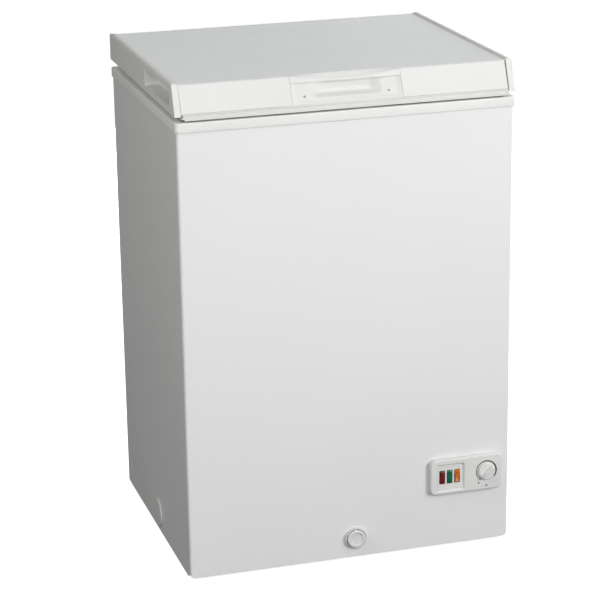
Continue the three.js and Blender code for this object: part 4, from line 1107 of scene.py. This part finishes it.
def hinge_leaf(end, x, y, z):
    """A leaf up the back of the lid, with the knuckle that turns on the pin."""
    node = "hinge_leaf_" + end
    face = box_mm(node)[0].y
    top, span = LID + 46, (x - HINGE_HALF, x + HINGE_HALF)
    outline = filleted([
        (face, LID + 2, 0), (y - 6.5, z - 1, 0), (y, z + 2, 0), (y - 2, z + 6.5, 0), (face + 6, z + 12, 3),
        (face + 3, z + 18, 5), (face + 3, top, 0.8), (face, top, 0)], 5)
    knuckle = prism("knuckle", circle(y, z, 7.5, 48), "X", *span)
    hole = prism("bore", circle(y, z, HINGE_BORE, 36), "X", x - 30, x + 30)
    leaf = boolean(boolean(prism("leaf_" + end, outline, "X", *span), [knuckle], "UNION"), [hole])
    finish(leaf, "lid", "zinc_plate", [node], 0.35, 2, 35)
    for i, across in enumerate((-8, 8)):
        rear_screw(f"leaf_screw_{end}_{i}", x + across, LID + 36, face + 3, "lid")


def hinge(end):
    """A bracket on the cabinet, the leaf's knuckle between its cheeks, and the pin through both."""
    node = "hinge_pin_" + end
    low, high = box_mm(node)
    _, y, z = middle(node)
    x = middle("hinge_leaf_" + end).x
    hinge_bracket(end, x, y, z)
    hinge_leaf(end, x, y, z)
    pin = revolved("pin_" + end, [
        (0, low.x), (2.4, low.x), (3, low.x + 0.6), (3, high.x - 0.6), (2.4, high.x), (0, high.x)],
        "X", (y, z), 40)
    finish(pin, "cabinet", "zinc_plate", [node], angle=35)


# ---- everything in its place

front_panel()
rear_panel()
for end in ("front_left", "front_right", "rear_left", "rear_right"):
    foot(end)
collar()
food_liner()
wire_basket()
drain_fittings()
bezel()
lamp_plate()
lamp_window("red_lamp_lens", "red_lens")
lamp_window("green_lamp_lens", "green_lens")
rocker_switch()
knob()
dial_marks()
lid_sheet()
lid_handle()
handle_ribs()
lid_rim()
lid_underside()
door_gasket()
rear_rail()
bay_cover()
for side, end in ((-1, "left"), (1, "right")):
    side_panel(side, end)
    port_plug(side, end)
    fascia(end)
    end_cap(side, end)
    handle_screw(side, end)
    hinge(end)

# The CAD nodes that stay get their materials, and smooth faces where they are round.
for name, node in frame["nodes"].items():
    if node.hide_render:
        continue
    node.data.materials.clear()
    node.data.materials.append(MATERIALS[CAD_SLOTS[name]])
    for face in node.data.polygons:
        face.use_smooth = True
    node.data.set_sharp_from_angle(angle=radians(35))

# ---- studio


def aimed_light(name, kind, energy, at, aim=(0, 0, 0)):
    """A light that shines from one place towards another."""
    data = bpy.data.lights.new(name, kind)
    data.energy = energy
    lamp = linked(name, data)
    lamp.location = at
    lamp.rotation_euler = (Vector(aim) - Vector(at)).to_track_quat("-Z", "Y").to_euler()
    return data


def panel(name, power, at, aim, width, height, color=(1, 1, 1)):
    """A soft rectangular light."""
    data = aimed_light(name, "AREA", power, at, aim)
    data.color = color
    data.shape = "RECTANGLE"
    data.size, data.size_y = width, height


def studio():
    """Soft light from the front, a low sun on the right, panels all round and a pale floor."""
    scene = bpy.context.scene
    scene.view_settings.view_transform = "Standard"
    world = bpy.data.worlds.new("studio")
    world.use_nodes = True
    background = world.node_tree.nodes["Background"].inputs
    background["Color"].default_value = (1, 1, 1, 1)
    background["Strength"].default_value = 0.145
    scene.world = world
    half = 40
    corners = [(-half, -half, 0), (half, -half, 0), (half, half, 0), (-half, half, 0)]
    mesh = bpy.data.meshes.new("floor")
    mesh.from_pydata(corners, [], [(0, 1, 2, 3)])
    floor = linked("floor", mesh)
    paper = Look("studio_paper", (0.95, 0.95, 0.95), 0.9)
    paper.tint(paper.noise(0.6, 2), (0.93, 0.93, 0.93), 0.4, 0.7)
    paper.fill(paper.shader, {"Emission Color": (1, 1, 1, 1), "Emission Strength": 0.8})
    mesh.materials.append(paper.material)
    floor.visible_diffuse = False
    floor.visible_glossy = False
    # The sun stands 14 degrees high, 34 degrees to the right of the front.
    level, up = turned(4, 0, 14)
    x, y = turned(0, -level, 34)
    aimed_light("key", "SUN", 0.84, (x, y, up)).angle = radians(9)
    panel("panel_right", 22, (1.35, -1.8, 1.35), (0.25, -0.25, 0.75), 1.2, 1.2)
    panel("panel_front", 22, (-0.7, -2.5, 1.5), (-0.2, -0.2, 0.85), 1.0, 1.0)
    panel("panel_left", 18.5, (-2.0, -0.8, 1.9), (-0.3, 0, 0.8), 1.0, 1.0, (0.97, 1.0, 0.93))
    panel("panel_top", 35, (1.9, 0.4, 2.0), (0.35, 0, 0.85), 1.2, 1.2)
    panel("panel_back", 38, (0.65, 3.0, 0.55), (0, 0.2, 0.45), 1.6, 1.0)


studio()
